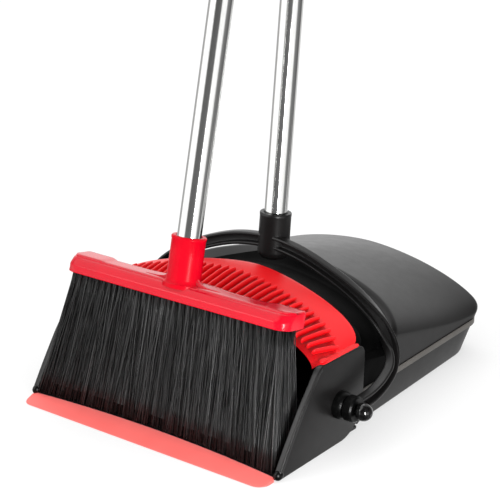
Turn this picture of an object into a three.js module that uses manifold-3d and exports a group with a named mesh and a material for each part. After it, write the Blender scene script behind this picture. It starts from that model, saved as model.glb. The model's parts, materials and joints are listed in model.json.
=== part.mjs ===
// Lobby dustpan with a broom standing in its mouth. Millimetres, +X to the right, +Y into the pan, +Z up.
// The origin is on the floor, in the middle of the pan's underside.
import * as THREE from 'three';
import { mergeVertices } from 'three/addons/utils/BufferGeometryUtils.js';
import Module from 'manifold-3d';

const wasm = await Module();
wasm.setup();

// Fits
const GAP = 0.3;
const RUNNING_GAP = 0.4;

// Pan. Depths are measured back from the front edge of the lip.
const PAN_MIDDLE = 205;
const WALL = 3;
const SEAM_HEIGHT = 36;
const CHEEK_OUTER = 156;
const CHEEK_THICKNESS = 5;
const FLOOR_FRONT = 22;
const FLOOR_BOW = 9;
const BODY_FRONT = 152;
const BODY_REAR = 405;
const HOOD_FRONT_HALF = 150.5;
const HOOD_REAR_HALF = 147;
const TRAY_FRONT_HALF = 147;
const TRAY_REAR_HALF = 138;
const HOOD_FRONT_APEX = 140.5;
const HOOD_REAR_APEX = 91;
const SHOULDER_FRONT = 90;
const SHOULDER_REAR = 34;
const ARCH_SQUARENESS = 1.75;
const ARCH_FULLNESS = 0.62;
const HOOD_LEAN = 1.2;
const REAR_CORNER = 26;
const ARCH_STEPS = 22;

// Waist of the hood, where the bail lies
const WAIST_FRONT = 168;
const WAIST_REAR = 252;
const WAIST_DROP = 16;
const WAIST_PINCH = 10;

// Lip
const LIP_HALF = 153;
const LIP_HEIGHT = 3.6;
const LIP_EDGE_HEIGHT = 1;
const LIP_CORNER = 12;

// Trim strip on the seam
const TRIM_LOW = 33;
const TRIM_HIGH = 39.5;
const TRIM_STAND_OUT = 1.7;
const TRIM_FRONT = 168;

// Comb
const COMB_FRONT = 93;
const COMB_FRONT_BOW = 19;
const COMB_FRONT_HEIGHT = 93;
const COMB_FRONT_RISE = 31;
const COMB_REAR_HEIGHT = 91.5;
const COMB_REAR_RISE = 35.5;
const COMB_REAR_FULLNESS = 0.5;
const COMB_REAR_CROWN = 0.35;
const COMB_THICKNESS = 3;
const COMB_SWELL = 5;
const COMB_HALF = 150.2;
const COMB_STEPS = 26;
const TOOTH_COUNT = 35;
const TOOTH_WIDTH = 4.8;
const TOOTH_HEIGHT = 3.6;
const TOOTH_OVERHANG = 4;
const TOOTH_REACH = 0.45;
const TOOTH_MARGIN = 0.04;

// Bail pivots
const PIVOT_DEPTH = 120.2;
const PIVOT_HEIGHT = 42.3;
const BUSH_RADIUS = 14;
const BUSH_END = 165.5;
const PIN_RADIUS = 5;
const PIN_HEAD = 144.5;
const BALL_CENTRE = 184;
const BALL_RADIUS = 9;
const BALL_STEPS = 7;
const EYE_RADIUS = 13;
const EYE_START = 166;
const EYE_END = 177;

// Bail
const BAIL_SECTION_HEIGHT = 14;
const BAIL_SECTION_DEPTH = 10;
const BAIL_WEB = 3.2;
const BAIL_FLANGE = 3;
const BAIL_STEPS = 64;
const BAIL_TURN_START = 0.3;
const BAIL_TURN_END = 0.78;

// Pan pole
const PAN_POLE_LEAN = 6.5;
const PAN_SOCKET_DEPTH = 227.2;
const PAN_SOCKET_TOP = 174.6;
const PAN_SOCKET_RADIUS = 16.5;
const PAN_SOCKET_LENGTH = 49;
const PAN_POLE_LENGTH = 808;
const PAN_GRIP_DROP = 44;

// Broom
const BROOM_LEAN = 13.2;
const BROOM_TURN = 2.4;
const BROOM_SIDE = -1.5;
const BROOM_DEPTH = 74.1;
const BROOM_HEIGHT = 128.3;
const HEAD_HALF = 133.5;
const HEAD_DEPTH = 38.8;
const HEAD_HEIGHT = 16.2;
const HEAD_CORNER = 14;
const HEAD_WAIST = 5;
const END_BLOCK = 34;
const BOSS_HALF = 27;
const BOSS_HEIGHT = 5;
const BROOM_SOCKET_RADIUS = 17;
const BROOM_SOCKET_FOOT = 19;
const BROOM_SOCKET_TOP = 62.4;
const BROOM_POLE_LENGTH = 1140;
const BRISTLE_CLEARANCE = 4.4;
const BRISTLE_FLOOR_HALF = 148.5;
const BRISTLE_FLOOR_FRONT = 23;
const BRISTLE_FLOOR_REAR = 66;
const BRISTLE_BOW = 8;
const BRISTLE_BULGE = 1.5;
const BRISTLE_TOP_HALF = 128;
const BRISTLE_TOP_DEPTH = 31;
const PLATE_THICKNESS = 4;

// Poles, grips and clip
const POLE_RADIUS = 12;
const POLE_WALL = 1;
const POLE_SIDES = 24;
const PLUG_LENGTH = 30;
const JOINT_FLANGE = 5;
const JOINT_INSERT = 24;
const GRIP_RADIUS = 15;
const GRIP_LENGTH = 105;
const CAP_LENGTH = 46;
const CAP_HOLE_RADIUS = 6;
const CAP_HOLE_HEIGHT = 28;
const CAP_FLAT = 10;
const CLIP_HEIGHT = 915;
const CLIP_WIDTH = 24;
const CLIP_WALL = 3.2;
const CLIP_MOUTH = 17;

// Finishes
const BLACK = { color: 0x1d1b1b, roughness: 0.5, metalness: 0 };
const SOFT_BLACK = { color: 0x161515, roughness: 0.75, metalness: 0 };
const GLOSS_BLACK = { color: 0x0c0c0c, roughness: 0.18, metalness: 0 };
const TRIM_GREY = { color: 0x5c5955, roughness: 0.55, metalness: 0 };
const RED = { color: 0xe10a20, roughness: 0.25, metalness: 0 };
const COMB_RED = { color: 0xff3a3c, roughness: 0.45, metalness: 0 };
const LIP_RED = { color: 0xff6058, roughness: 0.6, metalness: 0 };
const STEEL = { color: 0xc9c9c9, roughness: 0.2, metalness: 1 };
const BRISTLE_BLACK = { color: 0x202020, roughness: 0.8, metalness: 0 };

// Solid modelling helpers

function solid(geometry) {
  const bare = geometry.clone();
  bare.deleteAttribute('normal');
  bare.deleteAttribute('uv');
  const merged = mergeVertices(bare, 1e-4);
  return new wasm.Manifold(new wasm.Mesh({
    numProp: 3,
    vertProperties: new Float32Array(merged.attributes.position.array),
    triVerts: new Uint32Array(merged.index.array),
  }));
}

function node(name, shape, finish) {
  const mesh = shape.getMesh();
  const geometry = new THREE.BufferGeometry();
  geometry.setAttribute('position', new THREE.BufferAttribute(mesh.vertProperties, 3));
  geometry.setIndex(new THREE.BufferAttribute(mesh.triVerts, 1));
  geometry.computeVertexNormals();
  const part = new THREE.Mesh(geometry, new THREE.MeshStandardMaterial(finish));
  part.name = name;
  return part;
}

// A closed surface through rings of points, one ring after another, capped with the faces of the outline.
function loft(rings, capFaces) {
  const count = rings[0].length;
  const positions = rings.flat().flatMap((point) => [point.x, point.y, point.z]);
  const indices = [];
  for (let i = 0; i + 1 < rings.length; i += 1) {
    for (let j = 0; j < count; j += 1) {
      const a = i * count + j;
      const b = i * count + ((j + 1) % count);
      indices.push(a, b, a + count, b, b + count, a + count);
    }
  }
  const last = (rings.length - 1) * count;
  for (const [a, b, c] of capFaces) {
    indices.push(a, c, b);
    indices.push(last + a, last + b, last + c);
  }
  const geometry = new THREE.BufferGeometry();
  geometry.setAttribute('position', new THREE.Float32BufferAttribute(positions, 3));
  geometry.setIndex(indices);
  const shape = solid(geometry);
  return shape.volume() < 0 ? solid(flipped(geometry)) : shape;
}

function flipped(geometry) {
  const index = Array.from(geometry.index.array);
  for (let i = 0; i < index.length; i += 3) {
    [index[i + 1], index[i + 2]] = [index[i + 2], index[i + 1]];
  }
  geometry.setIndex(index);
  return geometry;
}

function fanFaces(count) {
  const faces = [];
  for (let i = 1; i + 1 < count; i += 1) {
    faces.push([0, i, i + 1]);
  }
  return faces;
}

// Faces that fill an outline, each running the same way round as the outline.
function outlineFaces(points) {
  const contour = points.map(([x, y]) => new THREE.Vector2(x, y));
  return THREE.ShapeUtils.triangulateShape(contour, []).map((face) => face.sort((a, b) => a - b));
}

// A side-view outline of [depth, height] points, extruded across the pan between two widths.
function acrossX(outline, from, to) {
  const shape = outline instanceof THREE.Shape
    ? outline
    : new THREE.Shape(outline.map(([y, z]) => new THREE.Vector2(y, z)));
  const settings = { depth: to - from, bevelEnabled: false, curveSegments: 6 };
  const geometry = new THREE.ExtrudeGeometry(shape, settings);
  geometry.applyMatrix4(new THREE.Matrix4().makeBasis(
    new THREE.Vector3(0, 1, 0), new THREE.Vector3(0, 0, 1), new THREE.Vector3(1, 0, 0),
  ));
  geometry.translate(from, 0, 0);
  return solid(geometry);
}

// A plan outline extruded upwards between two heights.
function upright(shape, from, to, curveSegments = 8) {
  const geometry = new THREE.ExtrudeGeometry(shape, { depth: to - from, bevelEnabled: false, curveSegments });
  geometry.translate(0, 0, from);
  return solid(geometry);
}

function box(from, to) {
  const geometry = new THREE.BoxGeometry(to[0] - from[0], to[1] - from[1], to[2] - from[2]);
  geometry.translate((from[0] + to[0]) / 2, (from[1] + to[1]) / 2, (from[2] + to[2]) / 2);
  return solid(geometry);
}

// A solid turned about Z from [radius, height] points that start and end on the axis.
function turned(points, sides = POLE_SIDES) {
  const geometry = new THREE.LatheGeometry(points.map(([r, z]) => new THREE.Vector2(r, z)), sides);
  geometry.rotateX(Math.PI / 2);
  const shape = solid(geometry);
  return shape.volume() < 0 ? solid(flipped(mergeVertices(stripped(geometry), 1e-4))) : shape;
}

function stripped(geometry) {
  geometry.deleteAttribute('normal');
  geometry.deleteAttribute('uv');
  return geometry;
}

function cylinder(radius, from, to, sides = POLE_SIDES) {
  return turned([[0, from], [radius, from], [radius, to], [0, to]], sides);
}

function tube(outer, inner, from, to, sides = POLE_SIDES) {
  return cylinder(outer, from, to, sides).subtract(cylinder(inner, from - 1, to + 1, sides));
}

function placed(shape, matrix) {
  return shape.transform(matrix.elements);
}

// A solid made along Z, laid along X at a depth and height.
function alongX(shape, depth, height) {
  const matrix = new THREE.Matrix4().makeBasis(
    new THREE.Vector3(0, 1, 0), new THREE.Vector3(0, 0, 1), new THREE.Vector3(1, 0, 0),
  );
  return placed(shape, matrix.setPosition(0, depth, height));
}

// A group whose Z axis leans back from the upright.
function leaning(degrees, side, depth, height) {
  const group = new THREE.Group();
  group.position.set(side, depth, height);
  group.rotation.x = THREE.MathUtils.degToRad(-degrees);
  group.updateMatrixWorld();
  return group;
}

function mirrored(shape) {
  return shape.mirror([1, 0, 0]);
}

const lerp = THREE.MathUtils.lerp;
const clamp = THREE.MathUtils.clamp;

// Rear body of the pan

function waist(depth) {
  if (depth <= WAIST_FRONT || depth >= WAIST_REAR) {
    return 0;
  }
  return Math.sin(Math.PI * (depth - WAIST_FRONT) / (WAIST_REAR - WAIST_FRONT)) ** 2;
}

// Height of the arch at a sideways share from 0, in the middle, to 1, at the side.
function archShare(share) {
  return (1 - Math.min(1, share) ** ARCH_SQUARENESS) ** ARCH_FULLNESS;
}

function bodyRing(depth, inset) {
  const along = clamp((depth - 165) / (400 - 165), 0, 1.05);
  const radius = REAR_CORNER - inset;
  const past = Math.max(0, depth - (BODY_REAR - REAR_CORNER)) / radius;
  const corner = radius * (1 - Math.sqrt(Math.max(0, 1 - past ** 2)));
  const pinch = waist(depth) * WAIST_PINCH;
  const drop = waist(depth) * WAIST_DROP + corner * 0.28 + inset;
  const half = lerp(HOOD_FRONT_HALF, HOOD_REAR_HALF, along) - corner - inset;
  const foot = lerp(TRAY_FRONT_HALF, TRAY_REAR_HALF, along) - corner - inset;
  const apex = lerp(HOOD_FRONT_APEX, HOOD_REAR_APEX, along ** 1.15) - drop;
  const shoulder = Math.max(SEAM_HEIGHT + 6, lerp(SHOULDER_FRONT, SHOULDER_REAR, along) - drop);
  const low = inset > 0 ? inset : 0;
  const ring = [new THREE.Vector3(-foot, depth, low), new THREE.Vector3(-half, depth, SEAM_HEIGHT)];
  for (let i = 0; i <= ARCH_STEPS; i += 1) {
    const angle = Math.PI * (i / ARCH_STEPS - 0.5);
    const share = Math.sin(angle);
    const x = share * (half - pinch);
    ring.push(new THREE.Vector3(x, depth, shoulder + (apex - shoulder) * archShare(Math.abs(share))));
  }
  ring.push(new THREE.Vector3(half, depth, SEAM_HEIGHT), new THREE.Vector3(foot, depth, low));
  return ring;
}

function bodyShape(inset, front, rear) {
  const depths = [front];
  for (let depth = WAIST_FRONT; depth < WAIST_REAR; depth += 9.5) {
    depths.push(depth);
  }
  depths.push(WAIST_REAR, 290, 335, BODY_REAR - REAR_CORNER);
  for (const share of [0.35, 0.62, 0.82, 0.94, 1]) {
    depths.push(BODY_REAR - REAR_CORNER + (rear - BODY_REAR + REAR_CORNER) * share);
  }
  const rings = depths.map((depth) => bodyRing(depth, inset));
  return loft(rings, fanFaces(rings[0].length));
}

const BODY = bodyShape(0, 140, BODY_REAR);
const BODY_INSIDE = bodyShape(WALL, 130, BODY_REAR - WALL);
const SHELL = BODY.subtract(BODY_INSIDE);

function cheek() {
  const outline = new THREE.Shape();
  outline.moveTo(24, 0);
  outline.quadraticCurveTo(19, 1, 21, 6);
  outline.quadraticCurveTo(34, 26, 58, 59);
  outline.lineTo(81, 87);
  outline.quadraticCurveTo(86, 93.2, 94, 93.2);
  outline.lineTo(150, 91.5);
  outline.quadraticCurveTo(163, 91, 163, 80);
  outline.lineTo(161, 34);
  outline.quadraticCurveTo(158, 5, 128, 2);
  outline.lineTo(110, 0);
  return acrossX(outline, CHEEK_OUTER - CHEEK_THICKNESS, CHEEK_OUTER);
}

// Raised bead along the slanted front of a cheek, on its outer face.
function cheekRim() {
  const outline = new THREE.Shape();
  outline.moveTo(24, 0);
  outline.quadraticCurveTo(19, 1, 21, 6);
  outline.quadraticCurveTo(34, 26, 58, 59);
  outline.lineTo(81, 87);
  outline.lineTo(85, 82);
  outline.lineTo(62, 54);
  outline.quadraticCurveTo(41, 25, 29, 4);
  outline.lineTo(30, 0);
  return acrossX(outline, CHEEK_OUTER - 1, CHEEK_OUTER + 1.4);
}

function floorFront(shape, half, front, bow) {
  shape.lineTo(-half, front);
  shape.quadraticCurveTo(0, front + 2 * bow, half, front);
}

function panTray() {
  const inner = CHEEK_OUTER - CHEEK_THICKNESS + 1;
  const floorOutline = new THREE.Shape();
  floorOutline.moveTo(-inner, 160);
  floorFront(floorOutline, inner, FLOOR_FRONT + GAP, FLOOR_BOW);
  floorOutline.lineTo(inner, 160);
  const floorPlate = upright(floorOutline, 0, WALL, 12);
  const lower = SHELL.intersect(box([-200, 158, -1], [200, 420, SEAM_HEIGHT]));
  const sideOutline = [[120, 0], [164, 0], [164, SEAM_HEIGHT], [150, SEAM_HEIGHT]];
  const link = acrossX(sideOutline, TRAY_FRONT_HALF - WALL, CHEEK_OUTER - CHEEK_THICKNESS + 1);
  const right = cheek().add(cheekRim()).add(link);
  const pinHole = alongX(cylinder(PIN_RADIUS + GAP, 130, 170, 24), PIVOT_DEPTH, PIVOT_HEIGHT);
  const side = right.subtract(pinHole);
  return floorPlate.add(lower).add(side).add(mirrored(side));
}

function hoodFrontAt(height) {
  return BODY_FRONT + HOOD_LEAN * Math.max(0, height - 91);
}

function panHood() {
  const upper = SHELL.intersect(box([-200, 100, SEAM_HEIGHT + GAP], [200, 420, 200]));
  const front = acrossX([
    [100, 0], [164 + GAP, 0], [164 + GAP, 60], [BODY_FRONT, 80], [BODY_FRONT, 91],
    [hoodFrontAt(200), 200], [100, 200],
  ], -200, 200);
  return upper.subtract(front);
}

function seamTrim() {
  const outer = bodyShape(-TRIM_STAND_OUT, 150, BODY_REAR + TRIM_STAND_OUT);
  const inner = bodyShape(-GAP, 140, BODY_REAR + GAP);
  return outer.subtract(inner).intersect(box([-200, TRIM_FRONT, TRIM_LOW], [200, 420, TRIM_HIGH]));
}

function panLip() {
  const outline = new THREE.Shape();
  outline.moveTo(-LIP_HALF + LIP_CORNER, 0);
  outline.lineTo(LIP_HALF - LIP_CORNER, 0);
  outline.quadraticCurveTo(LIP_HALF, 0, LIP_HALF, LIP_CORNER);
  outline.lineTo(LIP_HALF, 18);
  outline.lineTo(CHEEK_OUTER - CHEEK_THICKNESS - GAP, 18);
  outline.lineTo(CHEEK_OUTER - CHEEK_THICKNESS - GAP, FLOOR_FRONT);
  outline.quadraticCurveTo(0, FLOOR_FRONT + 2 * FLOOR_BOW, -CHEEK_OUTER + CHEEK_THICKNESS + GAP, FLOOR_FRONT);
  outline.lineTo(-CHEEK_OUTER + CHEEK_THICKNESS + GAP, 18);
  outline.lineTo(-LIP_HALF, 18);
  outline.lineTo(-LIP_HALF, LIP_CORNER);
  outline.quadraticCurveTo(-LIP_HALF, 0, -LIP_HALF + LIP_CORNER, 0);
  const wedge = acrossX([
    [-1, 0], [60, 0], [60, LIP_HEIGHT], [18, LIP_HEIGHT], [-1, LIP_EDGE_HEIGHT],
  ], -200, 200);
  return upright(outline, 0, 10, 12).intersect(wedge);
}

// Comb. Its upper face runs between a rear arch on the hood and a lower arch in front.

function combRear(share) {
  const out = Math.min(1, Math.abs(share));
  const fall = (1 + COMB_REAR_CROWN) * out ** 2 / (out + COMB_REAR_CROWN);
  const rise = Math.max(0, 1 - fall) ** COMB_REAR_FULLNESS;
  const height = COMB_REAR_HEIGHT + COMB_REAR_RISE * rise;
  return new THREE.Vector3(share * COMB_HALF, hoodFrontAt(height) - GAP, height);
}

function combFront(share) {
  const rise = archShare(Math.abs(share));
  return new THREE.Vector3(
    share * COMB_HALF, COMB_FRONT + COMB_FRONT_BOW * rise, COMB_FRONT_HEIGHT + COMB_FRONT_RISE * rise,
  );
}

function combShares(steps) {
  return Array.from({ length: steps + 1 }, (_, i) => Math.sin(Math.PI * (i / steps - 0.5)));
}

// A place on the comb: 0 to 1 back from its front edge.
function combPoint(share, back) {
  const point = combFront(share).lerp(combRear(share), back);
  point.z += COMB_SWELL * archShare(Math.abs(share)) * Math.sin(Math.PI * back ** 0.8);
  return point;
}

function combShell() {
  const down = new THREE.Vector3(0, -HOOD_LEAN, -1).multiplyScalar(COMB_THICKNESS);
  const backs = [1, 0.85, 0.68, 0.5, 0.33, 0.16, 0];
  const last = 2 * backs.length - 1;
  const rings = combShares(COMB_STEPS).map((share) => {
    const under = down.clone().setX(-share * COMB_THICKNESS);
    const upper = backs.map((back) => combPoint(share, back));
    return [...upper, ...upper.map((point) => point.clone().add(under)).reverse()];
  });
  const ends = backs.slice(1).flatMap((_, i) => [[i, i + 1, last - 1 - i], [i, last - 1 - i, last - i]]);
  return loft(rings, ends);
}

// The comb's front edge as a curve, so that the teeth stand evenly along it.
const COMB_EDGE = new THREE.CatmullRomCurve3(combShares(60).map(combFront));

// Sideways share of the point that lies squarely behind a point of the front edge.
function squareBehind(share, edge, tangent, back) {
  let found = share;
  for (let i = 0; i < 8; i += 1) {
    const here = combPoint(found, back).sub(edge).dot(tangent);
    const beside = combPoint(found + 0.001, back).sub(edge).dot(tangent);
    found = clamp(found - 0.001 * here / (beside - here), -0.998, 0.998);
  }
  return found;
}

// A leaf-shaped tooth that starts on the comb and runs past its front edge.
function tooth(place) {
  const edge = COMB_EDGE.getPointAt(place);
  const tangent = COMB_EDGE.getTangentAt(place);
  const share = clamp(edge.x / COMB_HALF, -0.998, 0.998);
  const start = combPoint(squareBehind(share, edge, tangent, TOOTH_REACH), TOOTH_REACH);
  const middle = combPoint(squareBehind(share, edge, tangent, TOOTH_REACH / 2), TOOTH_REACH / 2);
  const along = edge.clone().sub(middle).normalize();
  const across = tangent.clone().addScaledVector(along, -tangent.dot(along)).normalize();
  const up = new THREE.Vector3().crossVectors(across, along);
  const section = (base, width, height) => [
    [-0.5, -COMB_THICKNESS * 0.8], [0.5, -COMB_THICKNESS * 0.8], [0.32, height], [-0.32, height],
  ].map(([side, level]) => base.clone().addScaledVector(across, side * width).addScaledVector(up, level));
  const tip = edge.clone().addScaledVector(along, TOOTH_OVERHANG);
  return loft([
    section(start, TOOTH_WIDTH * 0.4, 0.4),
    section(start.clone().lerp(middle, 0.4), TOOTH_WIDTH, TOOTH_HEIGHT * 0.9),
    section(edge, TOOTH_WIDTH, TOOTH_HEIGHT),
    section(tip, TOOTH_WIDTH * 0.6, TOOTH_HEIGHT * 0.5),
  ], fanFaces(4));
}

function comb() {
  let shape = combShell();
  for (let i = 0; i < TOOTH_COUNT; i += 1) {
    shape = shape.add(tooth(lerp(TOOTH_MARGIN, 1 - TOOTH_MARGIN, i / (TOOTH_COUNT - 1))));
  }
  return shape;
}

// Pivots

function pivotBush() {
  return tube(BUSH_RADIUS, PIN_RADIUS + GAP, CHEEK_OUTER + GAP, BUSH_END, 30);
}

function pivotPin() {
  const head = [[0, PIN_HEAD], [9, PIN_HEAD], [9, CHEEK_OUTER - CHEEK_THICKNESS - GAP]];
  const shaft = [[PIN_RADIUS, CHEEK_OUTER - CHEEK_THICKNESS - GAP], [PIN_RADIUS, EYE_END + RUNNING_GAP]];
  const ball = [];
  for (let i = 1; i < BALL_STEPS; i += 1) {
    const angle = 0.82 * Math.PI * (1 - i / BALL_STEPS);
    ball.push([BALL_RADIUS * Math.sin(angle), BALL_CENTRE + BALL_RADIUS * Math.cos(angle)]);
  }
  const tip = [0, BALL_CENTRE + BALL_RADIUS];
  return turned([...head, ...shaft, ...ball, tip], 24);
}

// A piece made along Z, measured out from the pan's middle, turned to point out at the pivot on one side.
function atPivot(part, side) {
  part.position.set(0, PIVOT_DEPTH, PIVOT_HEIGHT);
  part.rotation.y = side * Math.PI / 2;
  return part;
}

// Bail: a channel that arches over the hood, then sweeps down and forward to the pivots.

const BAIL_RIDGE_HALF = [
  [0, 210, 153.4], [40, 210.2, 148.6], [80, 210.7, 135], [120.3, 213.2, 114.2], [150.5, 215.3, 91], [164.7, 212.5, 70],
  [171.3, 200, 53.3], [174.5, 180, 43], [176.5, 155, 37.5], [177, 128, 36.5],
];

// Outline of the channel: outward from the arch, then towards its open side.
function bailSection() {
  const height = BAIL_SECTION_HEIGHT;
  const depth = BAIL_SECTION_DEPTH;
  return [
    [0, 0], [0, -depth], [-height, -depth], [-height, 0],
    [-height + BAIL_FLANGE, 0], [-height + BAIL_FLANGE, -depth + BAIL_WEB],
    [-BAIL_FLANGE, -depth + BAIL_WEB], [-BAIL_FLANGE, 0],
  ];
}

function bailArch() {
  const right = BAIL_RIDGE_HALF.map(([x, y, z]) => new THREE.Vector3(x, y, z));
  const left = right.slice(1).reverse().map((point) => new THREE.Vector3(-point.x, point.y, point.z));
  const ridge = new THREE.CatmullRomCurve3([...left, ...right], false, 'centripetal');
  const section = bailSection();
  const rings = [];
  for (let i = 0; i <= BAIL_STEPS; i += 1) {
    const t = i / BAIL_STEPS;
    const point = ridge.getPointAt(t);
    const tangent = ridge.getTangentAt(t);
    const out = Math.abs(2 * t - 1);
    const turn = THREE.MathUtils.smoothstep(out, BAIL_TURN_START, BAIL_TURN_END) * Math.PI / 2;
    const open = new THREE.Vector3(Math.sign(point.x) * Math.sin(turn), -Math.cos(turn), 0);
    open.addScaledVector(tangent, -open.dot(tangent)).normalize();
    const outward = new THREE.Vector3().crossVectors(open, tangent).normalize();
    rings.push(section.map(([h, m]) => point.clone().addScaledVector(outward, h).addScaledVector(open, m)));
  }
  return loft(rings, outlineFaces(section));
}

const PAN_POLE_GROUP = leaning(PAN_POLE_LEAN, 0, PAN_SOCKET_DEPTH, PAN_SOCKET_TOP);
const PAN_POLE_PLACE = PAN_POLE_GROUP.matrixWorld.clone();

function bail() {
  const low = -PAN_SOCKET_LENGTH;
  const socket = placed(turned([
    [0, low], [PAN_SOCKET_RADIUS - 4, low], [PAN_SOCKET_RADIUS, low + 6], [PAN_SOCKET_RADIUS, -3],
    [PAN_SOCKET_RADIUS + 0.8, -3], [PAN_SOCKET_RADIUS + 0.8, 0], [0, 0],
  ], 36), PAN_POLE_PLACE);
  const bore = placed(cylinder(POLE_RADIUS + GAP, 5 - PAN_SOCKET_LENGTH, 1), PAN_POLE_PLACE);
  const eye = alongX(cylinder(EYE_RADIUS, EYE_START, EYE_END, 36), PIVOT_DEPTH, PIVOT_HEIGHT);
  const drill = cylinder(PIN_RADIUS + RUNNING_GAP, EYE_START - 9, EYE_END + 9, 28);
  const hole = alongX(drill, PIVOT_DEPTH, PIVOT_HEIGHT);
  return bailArch().add(socket).add(eye).add(mirrored(eye))
    .subtract(bore).subtract(hole).subtract(mirrored(hole));
}

// Poles

function poleTube(from, to) {
  return tube(POLE_RADIUS, POLE_RADIUS - POLE_WALL, from, to);
}

function polePlug(from) {
  const radius = POLE_RADIUS - POLE_WALL - GAP;
  return cylinder(radius, from, from + PLUG_LENGTH, 24);
}

// A collar flush with the tubes, with a stub into each.
function poleJoint(middle) {
  const stub = POLE_RADIUS - POLE_WALL - GAP;
  const collar = JOINT_FLANGE / 2;
  const half = [
    [POLE_RADIUS, collar], [stub, collar], [stub, JOINT_INSERT], [0, JOINT_INSERT],
  ];
  const lower = half.map(([r, z]) => [r, middle - z]).reverse();
  const upper = half.map(([r, z]) => [r, middle + z]);
  return turned([...lower, ...upper]);
}

function grip(top) {
  const low = top - GRIP_LENGTH;
  const sleeve = turned([
    [0, low], [GRIP_RADIUS - 1.5, low], [GRIP_RADIUS, low + 4], [GRIP_RADIUS - 0.8, low + 40],
    [GRIP_RADIUS, top - 12], [GRIP_RADIUS, top], [0, top],
  ]);
  return sleeve.subtract(cylinder(POLE_RADIUS + GAP, low - 1, top + 1));
}

// Closes the pole's end, with an eye to hang it by.
function hangCap(from) {
  const stub = POLE_RADIUS - POLE_WALL - GAP;
  const body = turned([
    [0, from - 20], [stub, from - 20], [stub, from + GAP], [GRIP_RADIUS, from + GAP],
    [GRIP_RADIUS, from + 8], [GRIP_RADIUS - 2, from + CAP_LENGTH - 10],
    [GRIP_RADIUS - 6, from + CAP_LENGTH - 2], [0, from + CAP_LENGTH],
  ]);
  const low = from + 12;
  const high = from + CAP_LENGTH + 30;
  const front = box([-30, -30, low], [30, -CAP_FLAT / 2, high]);
  const back = box([-30, CAP_FLAT / 2, low], [30, 30, high]);
  const across = new THREE.Matrix4().makeRotationX(Math.PI / 2).setPosition(0, 0, from + CAP_HOLE_HEIGHT);
  const hole = placed(cylinder(CAP_HOLE_RADIUS, -30, 30, 24), across);
  return body.subtract(front).subtract(back).subtract(hole);
}

// Storage clip

function axisDepth(place, height) {
  const origin = new THREE.Vector3().setFromMatrixPosition(place);
  const up = new THREE.Vector3().setFromMatrixColumn(place, 2);
  return origin.y + (height - origin.z) * up.y / up.z;
}

const BROOM_POLE_GROUP = leaning(BROOM_LEAN, BROOM_SIDE, BROOM_DEPTH, BROOM_HEIGHT);
const BROOM_POLE_PLACE = BROOM_POLE_GROUP.matrixWorld.clone();
const HEAD_GROUP = new THREE.Group();
HEAD_GROUP.rotation.z = THREE.MathUtils.degToRad(BROOM_TURN);
BROOM_POLE_GROUP.add(HEAD_GROUP);
HEAD_GROUP.updateWorldMatrix(true, false);
const HEAD_PLACE = HEAD_GROUP.matrixWorld.clone();

function poleClip() {
  const panDepth = axisDepth(PAN_POLE_PLACE, CLIP_HEIGHT);
  const broomDepth = axisDepth(BROOM_POLE_PLACE, CLIP_HEIGHT);
  const panRing = leaning(PAN_POLE_LEAN, 0, panDepth, CLIP_HEIGHT).matrixWorld;
  const broomRing = leaning(BROOM_LEAN, BROOM_SIDE, broomDepth, CLIP_HEIGHT).matrixWorld;
  const outer = POLE_RADIUS + RUNNING_GAP + CLIP_WALL;
  const half = CLIP_WIDTH / 2;
  const ring = placed(cylinder(outer, -half, half, 36), panRing);
  const jaw = placed(cylinder(outer, -half, half, 36), broomRing);
  const link = box([-6, broomDepth + POLE_RADIUS, CLIP_HEIGHT - half + 3],
    [6, panDepth - POLE_RADIUS, CLIP_HEIGHT + half - 3]);
  const panBore = placed(cylinder(POLE_RADIUS + GAP, -40, 40, 36), panRing);
  const jawBore = placed(cylinder(POLE_RADIUS + RUNNING_GAP, -40, 40, 36), broomRing);
  const mouth = placed(box([-CLIP_MOUTH / 2, -40, -40], [CLIP_MOUTH / 2, 0, 40]), broomRing);
  return ring.add(jaw).add(link).subtract(panBore).subtract(jawBore).subtract(mouth);
}

// Broom, made upright about its own pole with the bar's underside at height 0

function headOutline(inset) {
  const half = HEAD_HALF - inset;
  const front = -HEAD_DEPTH / 2 + inset;
  const rear = HEAD_DEPTH / 2 - inset;
  const corner = HEAD_CORNER - inset;
  const neck = rear - HEAD_WAIST;
  const outline = new THREE.Shape();
  outline.moveTo(-half + corner, front);
  outline.lineTo(half - corner, front);
  outline.absarc(half - corner, front + corner, corner, -Math.PI / 2, 0, false);
  outline.lineTo(half, rear - 5);
  outline.absarc(half - 5, rear - 5, 5, 0, Math.PI / 2, false);
  outline.lineTo(half - END_BLOCK, rear);
  outline.lineTo(half - END_BLOCK - 12, neck);
  outline.lineTo(BOSS_HALF + 24, neck);
  outline.lineTo(BOSS_HALF, rear);
  outline.lineTo(-BOSS_HALF, rear);
  outline.lineTo(-BOSS_HALF - 24, neck);
  outline.lineTo(-half + END_BLOCK + 12, neck);
  outline.lineTo(-half + END_BLOCK, rear);
  outline.lineTo(-half + 5, rear);
  outline.absarc(-half + 5, rear - 5, 5, Math.PI / 2, Math.PI, false);
  outline.lineTo(-half, front + corner);
  outline.absarc(-half + corner, front + corner, corner, Math.PI, 1.5 * Math.PI, false);
  return outline;
}

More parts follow.
